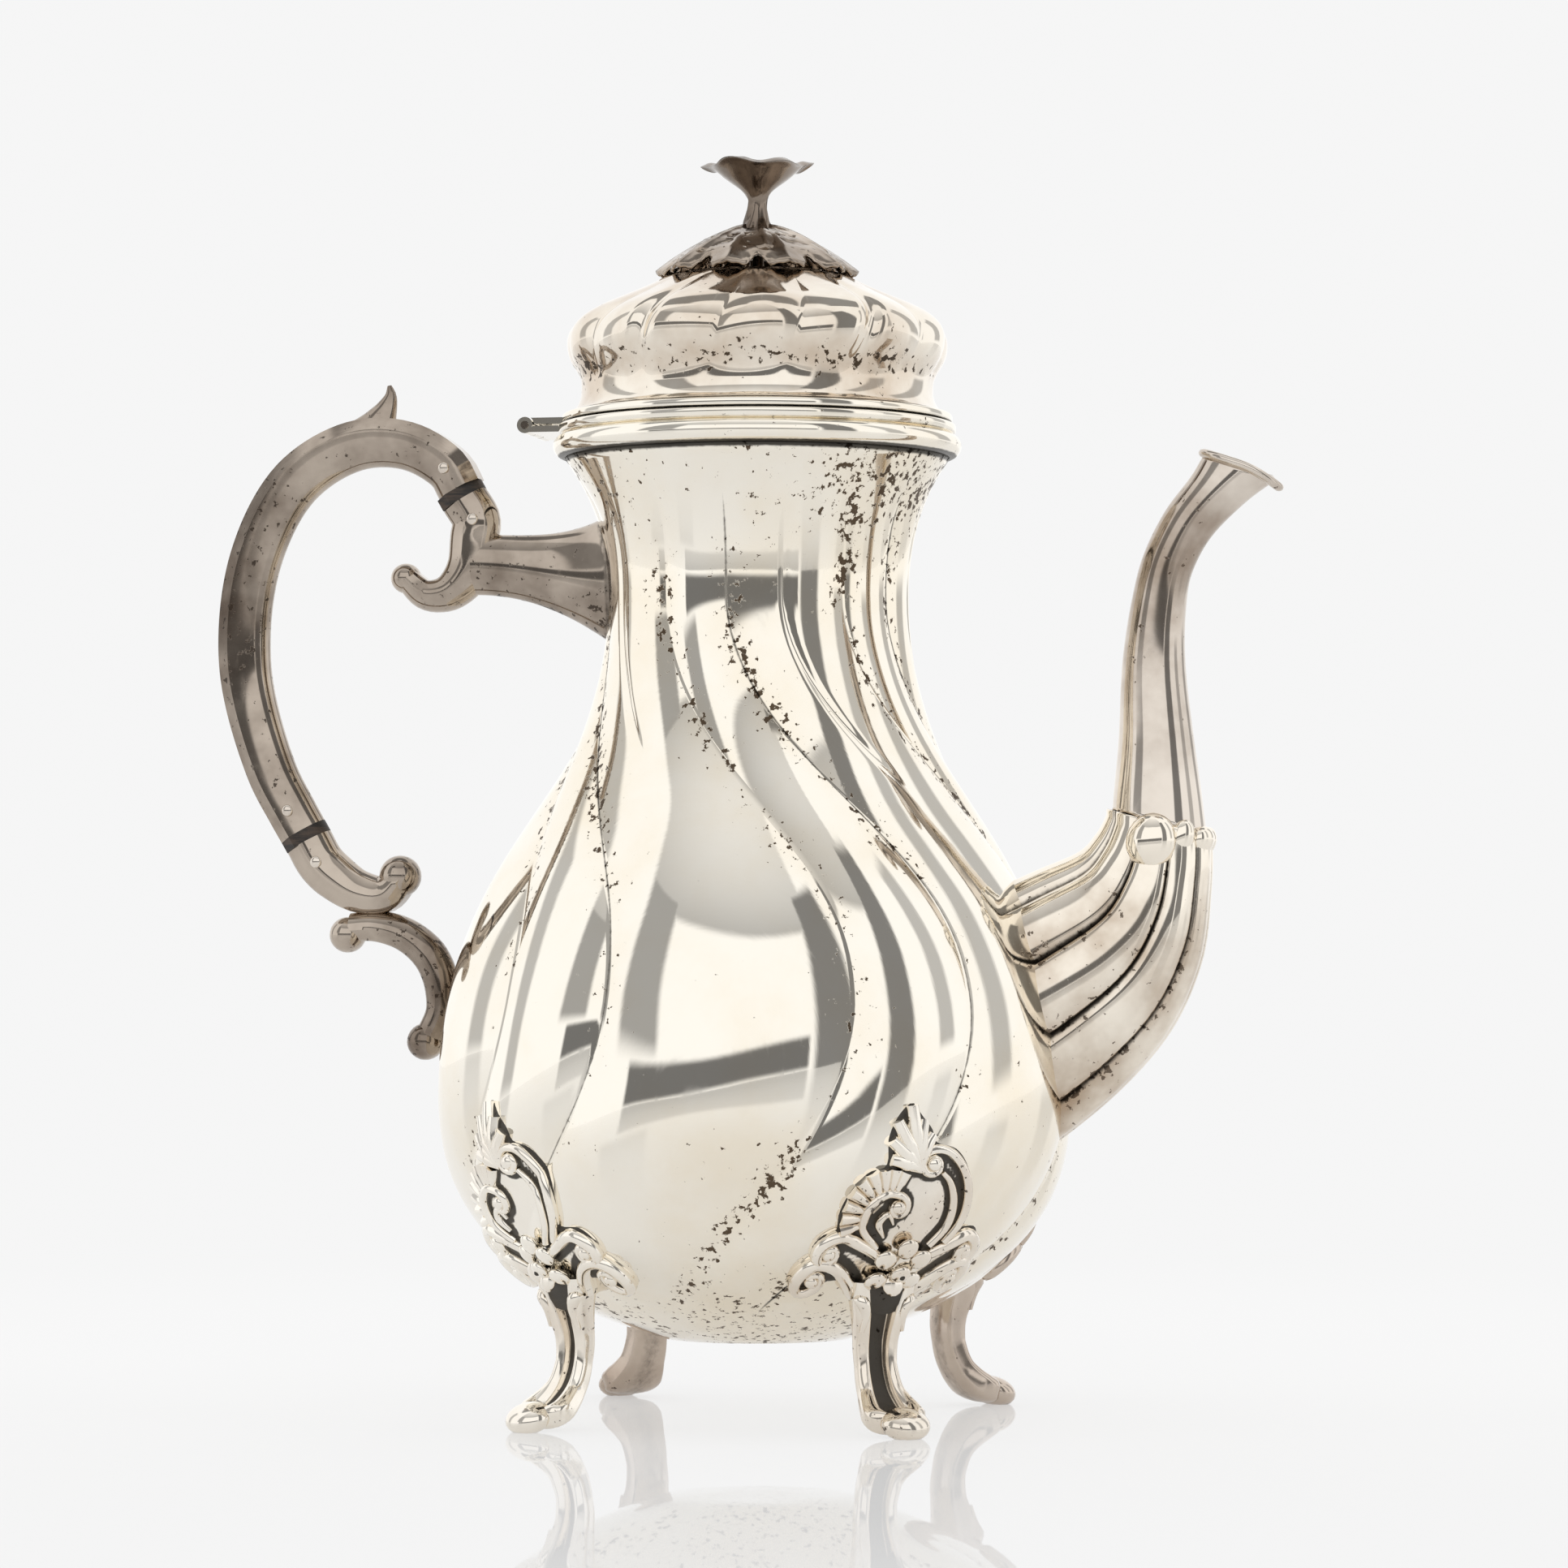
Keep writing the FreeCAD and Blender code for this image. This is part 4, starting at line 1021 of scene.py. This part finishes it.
SHOULDER_WIDTHS, ARM_WIDTHS = (0.9, 2.8, 3.3, 3.2, 2.9, 2.2, 1.8), (2.4, 3.0, 2.6, 1.9)
EYES = ((-16.4, 31.8), (16.4, 31.8), (-15.6, 37.3), (15.6, 37.1), (-3.9, 46.3), (2.9, 54.6))
LEFT_SHOULDER, RIGHT_SHOULDER, LEFT_ARM, RIGHT_ARM, SHELL_EYE, LEAF_EYE = EYES
SHELL_ACROSS, SHELL_HEIGHT, SHELL_RIBS = -6.2, 44.2, 9
LEAF_ROOT = (0.4, 53.6)
LEAF_TIPS = ((-7.4, 55.6), (-7.7, 59.4), (-6.6, 63.2), (-3.4, 66.2), (-0.6, 63.4), (2.2, 60.4))
FLOWER_HEIGHT, PETALS = 34.4, 6


def scrolls(bm, angle):
    """The curling strands: two shoulders over the leg, two arms, and the stalks of shell and leaf."""
    for side, eye in ((-1, LEFT_SHOULDER), (1, RIGHT_SHOULDER)):
        line = [(side * u, z) for u, z in ((3.0, 20.5), (3.7, 25), (7.4, 30), (13.5, 34.6), (17.8, 35.0))]
        strand(bm, angle, curl(line, eye, -1.1 * side), SHOULDER_WIDTHS, 44, 0.7)
    line = ((-5, 36.5), (-9, 38.6), (-14.5, 40.6), (-17.8, 38.8))
    strand(bm, angle, curl(line, LEFT_ARM, 1.0), ARM_WIDTHS, 34, 0.7)
    line = ((5, 36.5), (9, 38.2), (14.5, 40.4), (17.8, 38.6))
    strand(bm, angle, curl(line, RIGHT_ARM, -1.0), ARM_WIDTHS, 34, 0.7)
    line = ((-6.5, 38.5), (-10.4, 42.4), (-10.4, 46.2), (-7.2, 48.9), (-3.4, 48.5))
    strand(bm, angle, curl(line, SHELL_EYE, -1.1), (1.5, 2.1, 2.1, 1.7, 1.3), 44, 0.8)
    line = ((-5.6, 40.5), (-7.2, 43.2), (-5.6, 45.0), (-4.2, 43.0))
    strand(bm, angle, line, (0.8, 1.8, 1.6, 0.6), 18, 0.7)
    line = ((5.2, 38.6), (8.0, 42.5), (8.4, 47.0), (7.0, 51.0), (5.0, 53.0))
    strand(bm, angle, line, (1.6, 1.8, 1.7, 1.1), 26, 0.7)
    line = ((8.6, 39.2), (11.2, 43.5), (11.6, 48.5), (10.2, 53.0), (6.6, 56.8), (3.0, 57.4))
    strand(bm, angle, curl(line, LEAF_EYE, 1.2), (1.8, 2.1, 2.1, 1.9, 1.5), 50, 0.7)


def shell_and_leaf(bm, angle):
    """A fan of ribs round the shell's curl, and a fan of lobes above it."""
    for k in range(SHELL_RIBS):
        way = math.radians(196 - 15.5 * k)
        reach = 10.2 - 0.9 * abs(k - 4) / 4
        inner = (SHELL_ACROSS + 5.0 * math.cos(way), SHELL_HEIGHT + 5.4 * math.sin(way))
        outer = (SHELL_ACROSS + reach * math.cos(way), SHELL_HEIGHT + reach * math.sin(way))
        middle = ((inner[0] + outer[0]) / 2, (inner[1] + outer[1]) / 2)
        strand(bm, angle, (inner, middle, outer), (1.5, 2.4, 3.0), 8, 0.4)
    for tip in LEAF_TIPS:
        bend = ((LEAF_ROOT[0] + tip[0]) / 2 - 0.9, (LEAF_ROOT[1] + tip[1]) / 2 + 0.6)
        strand(bm, angle, (LEAF_ROOT, bend, tip), (2.0, 3.7, 2.5), 12, 0.6)


def flower(bm, angle):
    """A ring of petals round a button with a dark pit."""
    for k in range(PETALS):
        way = math.radians(90 + 60 * k)
        petal(bm, angle, 4.4 * math.cos(way), FLOWER_HEIGHT + 4.2 * math.sin(way), 5.0, 4.8, way, 1.9)
    petal(bm, angle, 0.0, FLOWER_HEIGHT, 4.4, 4.4, 0.0, 2.9)
    set_groove(bm, petal(bm, angle, 0.0, FLOWER_HEIGHT, 1.5, 1.5, 0.0, 3.3), 1.0)


def ornament(bm, angle):
    """All the relief above one leg, with the plate that carries it laid in last."""
    drawn.clear()
    scrolls(bm, angle)
    shell_and_leaf(bm, angle)
    for across, z in EYES:
        petal(bm, angle, across, z, 3.0, 3.0, 0.0, 1.3)
    flower(bm, angle)
    backplate(bm, angle)


for node, angle in FEET.items():
    bm = new_drawing()
    leg(bm, angle)
    ornament(bm, angle)
    # The two back feet get a darker, duller finish than the front ones.
    finish = worn_silver if "back" in node else foot_silver
    keep(bm, node + "_casting", finish, CAST, "pot", node, sharp=60, tarnish=0.4)

# %% [markdown]
# The finial is a cast flower on a short stem, above a rosette of veined leaves that lies on the lid's
# shoulder. A leaf is a small grid bent to its outline: a ridge for the midrib, waves along the margin and
# a droop over the dome. Two rings of leaves, the upper one smaller, hide the stud and its hole.

# %% Leaves


def leaf(bm, angle, root, reach, half_width, top, drop, lift):
    """One leaf from near the axis out over the lid's shoulder."""
    made = bmesh.ops.create_grid(bm, x_segments=14, y_segments=18, size=1.0)["verts"]
    groove = point_values(bm, "groove")
    outward = polar(1.0, angle, 0.0)
    across = Vector((-outward.y, outward.x, 0))
    for vert in made:
        side, share = vert.co.x, (vert.co.y + 1) / 2
        lobes = 1 + 0.13 * math.cos(share * 8.5 * math.pi)
        taper = (0.3 + 0.7 * ease(share * 2)) * (1 - 0.5 * ease((share - 0.65) / 0.35))
        width = half_width * taper * lobes
        run = root + (reach - root) * share - 1.6 * abs(side) ** 2 * share
        veins = 0.22 * math.cos((share * 7 - abs(side) * 1.6) * 2 * math.pi) * abs(side)
        rib = 0.9 * bell(side, 0.16) * (1 - 0.6 * share)
        z = top - drop * share ** 1.7 + rib + veins - 0.7 * side ** 2 + lift
        vert.co = outward * run + across * (side * width) + Vector((0, 0, z))
        vert[groove] = clamp(0.5 * bell(abs(side) - 0.22, 0.1) + 0.2 * (veins < -0.1))


LEAF_SHEET = 0.7
bm = new_drawing()
for k in range(10):
    leaf(bm, 12 + 36 * k, 3.0, 21.2, 7.4, 245.6, 8.2, 0.0)
for k in range(7):
    leaf(bm, 30 + 360 / 7 * k, 1.8, 17.0, 6.6, 246.3, 6.0, 0.3)
leaves = keep(bm, "leaf_rosette", finial_silver, CAST, "lid", "finial_leaves", sharp=80)
give_wall(leaves, LEAF_SHEET)

# %% [markdown]
# The flower is an open trumpet on a stem like a twig. Its petals are spun as one shallow cup whose edge is
# then waved and folded back, which keeps the petals joined at the throat as they are in the casting.

# %% Flower
FLOWER_TURN, FLOWER_TOP = 0.85, 260.4
bm = new_drawing()
stem_outline = [(1.6, 228.5), (1.6, 245.6), (3.4, 246.4), (2.4, 248.2), (2.0, 250.6), (2.1, 252.6)]
cup = bezier(((2.1, 252.6), (2.6, 255.0), (5.4, 255.6), (8.2, 258.6)), 8)
cup += bezier(((8.2, 258.6), (9.4, 259.8), (10.4, 260.6), (11.4, 260.2)), 6)
inner_cup = [(radius - 0.9, z + 0.45) for radius, z in reversed(cup[2:-1])]
turn_outline(bm, stem_outline + cup + inner_cup + [(0.0, 256.2)], 96)
groove = point_values(bm, "groove")
for vert in bm.verts:
    x, y, z = vert.co
    radius = math.hypot(x, y)
    turn = math.atan2(y, x) + FLOWER_TURN
    if z > 253:
        share = ease((radius - 3) / 8)
        fold = math.cos(6 * turn)
        spread = 1 + share * (0.06 * fold - 0.02)
        vert.co.x *= spread
        vert.co.y *= spread
        folded = 0.8 * share ** 6 * (0.5 + 0.5 * math.cos(3 * turn))
        vert.co.z = min(FLOWER_TOP, z + share * (0.45 * fold - 0.35) - folded)
        vert[groove] = 0.6 * share * clamp(-fold)
    elif z > 245:
        knot = 1 + 0.14 * math.sin(5 * turn + z * 2.1) + 0.1 * math.sin(z * 3.7)
        vert.co.x *= knot
        vert.co.y *= knot
bmesh.ops.holes_fill(bm, edges=bm.edges, sides=0)
keep(bm, "flower_knop", flower_silver, CAST, "lid", "finial_flower", sharp=70)

# %% [markdown]
# Some solids are right as they are: the hinge's leaves and pin, the discs of the insulators, the lid's
# inner bezel, and the washer and nut under the lid. They keep their shape and only get a finish.

# %% Finishes of the solids that stay
for node, finish in (("hinge_pot_leaf", polished), ("hinge_lid_leaf", polished), ("hinge_pin", handle_silver),
                     ("lid_bezel", polished), ("finial_washer", polished), ("finial_nut", polished),
                     ("upper_insulator", insulator_finish), ("lower_insulator", insulator_finish)):
    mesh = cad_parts[node].data
    mesh.materials.clear()
    mesh.materials.append(finish)
    print(node, "finished with", finish.name)

# %% [markdown]
# The pot stands on a glossy white sheet in a white studio. A large plane does for the sheet: near the pot
# it shades and mirrors, and further out it turns into the plain white of the background for the camera.

# %% The floor
bm = bmesh.new()
bmesh.ops.create_grid(bm, x_segments=1, y_segments=1, size=6.0)
mesh = bpy.data.meshes.new("white_sheet")
bm.to_mesh(mesh)
bm.free()
floor = bpy.data.objects.new("white_sheet", mesh)
bpy.context.scene.collection.objects.link(floor)
WHITE = 0.92
SHADED_REACH, PLAIN_REACH, LEAST_GLOW = 0.16, 0.6, 0.45
sheet = bpy.data.materials.new("white_sheet")
sheet.use_nodes = True
tree = sheet.node_tree
shader = tree.nodes["Principled BSDF"]
shader.inputs["Base Color"].default_value = (0.93, 0.93, 0.93, 1)
shader.inputs["Roughness"].default_value = 0.015
shader.inputs["Specular IOR Level"].default_value = 0.2
place = Wire.node(tree, "ShaderNodeTexCoord", None, None, "Object")
reach = Wire.node(tree, "ShaderNodeVectorMath", {"operation": "LENGTH"}, {0: place}, "Value")
seen = Wire.node(tree, "ShaderNodeLightPath", None, None, "Is Camera Ray")
plain = Wire.node(tree, "ShaderNodeEmission", None, {"Color": (WHITE, WHITE, WHITE, 1)})
glow = step(reach, SHADED_REACH, PLAIN_REACH) * seen * (1 - LEAST_GLOW) + LEAST_GLOW
mixed = Wire.node(tree, "ShaderNodeMixShader", None, {0: glow, 1: Wire(shader.outputs[0]), 2: plain})
tree.links.new(mixed.socket, tree.nodes["Material Output"].inputs["Surface"])
mesh.materials.append(sheet)
print("floor of", mesh.polygons[0].area, "square metres")

# %% [markdown]
# Polished silver shows little but the room. The room here is white all round, with a few grey places, most
# on the camera's side: the gap under the big soft light, the dark ceiling above it and the stands beside it.
# They are painted on the world by direction, which lights and reflects without any object in the way.

# %% The studio
VIEW_TURN = math.radians(11.5)
toward = Vector((math.sin(VIEW_TURN), -math.cos(VIEW_TURN), 0))
right = Vector((math.cos(VIEW_TURN), math.sin(VIEW_TURN), 0))
world = bpy.data.worlds.new("studio")
bpy.context.scene.world = world
world.use_nodes = True
tree = world.node_tree
ray = Wire.node(tree, "ShaderNodeTexCoord", None, None, "Generated")


def along_way(way):
    """How far a ray goes along a direction."""
    return Wire.node(tree, "ShaderNodeVectorMath", {"operation": "DOT_PRODUCT"}, {0: ray, 1: way}, "Value")


ahead, aside, above = along_way(toward), along_way(right), along_way(Vector((0, 0, 1)))
turn = Wire.node(tree, "ShaderNodeMath", {"operation": "ARCTAN2"}, {0: aside, 1: ahead}) * math.degrees(1)
rise = Wire.node(tree, "ShaderNodeMath", {"operation": "ARCSINE"}, {0: above}) * math.degrees(1)


def patch(left, far, low, high, edge, share):
    """A grey place in the room between two turns and two rises, in degrees."""
    wide = step(turn, left - edge, left + edge) * (1 - step(turn, far - edge, far + edge))
    tall = step(rise, low - edge, low + edge) * (1 - step(rise, high - edge, high + edge))
    return wide * tall * share


grey = patch(-62, 34, 0, 8, 1, 0.85) | patch(-70, 46, 44, 88, 2, 1.0) * (1.05 - rise * 0.0115)
grey = grey | patch(105, 181, 56, 78, 2, 0.72) | patch(-181, -105, 56, 78, 2, 0.72)
grey = grey | patch(37, 58, -4, 58, 2, 0.8) | patch(80, 94, 4, 50, 2, 0.5)
grey = grey | patch(-70, -47, 10, 50, 2, 0.65)
grey = grey | patch(-122, -108, 0, 44, 2, 0.5) | patch(122, 138, 2, 40, 2, 0.5)
room = tint(grey, (1.07, 1.07, 1.07, 1), (0.02, 0.02, 0.022, 1))
light = Wire.node(tree, "ShaderNodeLightPath", None, None, "Is Camera Ray")
colour = tint(light, room, (WHITE, WHITE, WHITE, 1))
tree.links.new(colour.socket, tree.nodes["Background"].inputs["Color"])
bpy.context.scene.view_settings.view_transform = "Standard"
print("studio painted with", len(tree.nodes), "nodes")

# %% [markdown]
# The camera stands low, a little above the belly, about a metre away, and looks slightly up. A long lens
# keeps the pot's proportions. Its turn shows the handle and the spout side on, with the spout nearer.

# %% Camera
IMAGE_SIDE, LENS_PIXELS = 1932, 6580.0
DISTANCE, EYE_HEIGHT = 1.1087, 0.0999
AIM_RIGHT, AIM_UP = 33, 184
camera_data = bpy.data.cameras.new("camera")
camera_data.sensor_width = 36.0
camera_data.lens = 36.0 * LENS_PIXELS / IMAGE_SIDE
camera = bpy.data.objects.new("camera", camera_data)
bpy.context.scene.collection.objects.link(camera)
camera.location = Vector((AXIS_SHIFT / 1000, 0, EYE_HEIGHT)) + toward * DISTANCE
look = -toward + right * (AIM_RIGHT / LENS_PIXELS) + Vector((0, 0, AIM_UP / LENS_PIXELS))
camera.rotation_euler = look.to_track_quat("-Z", "Y").to_euler()
camera_data.clip_start = 0.01
bpy.context.scene.camera = camera
print("camera with a lens of", round(camera_data.lens, 1), "mm")
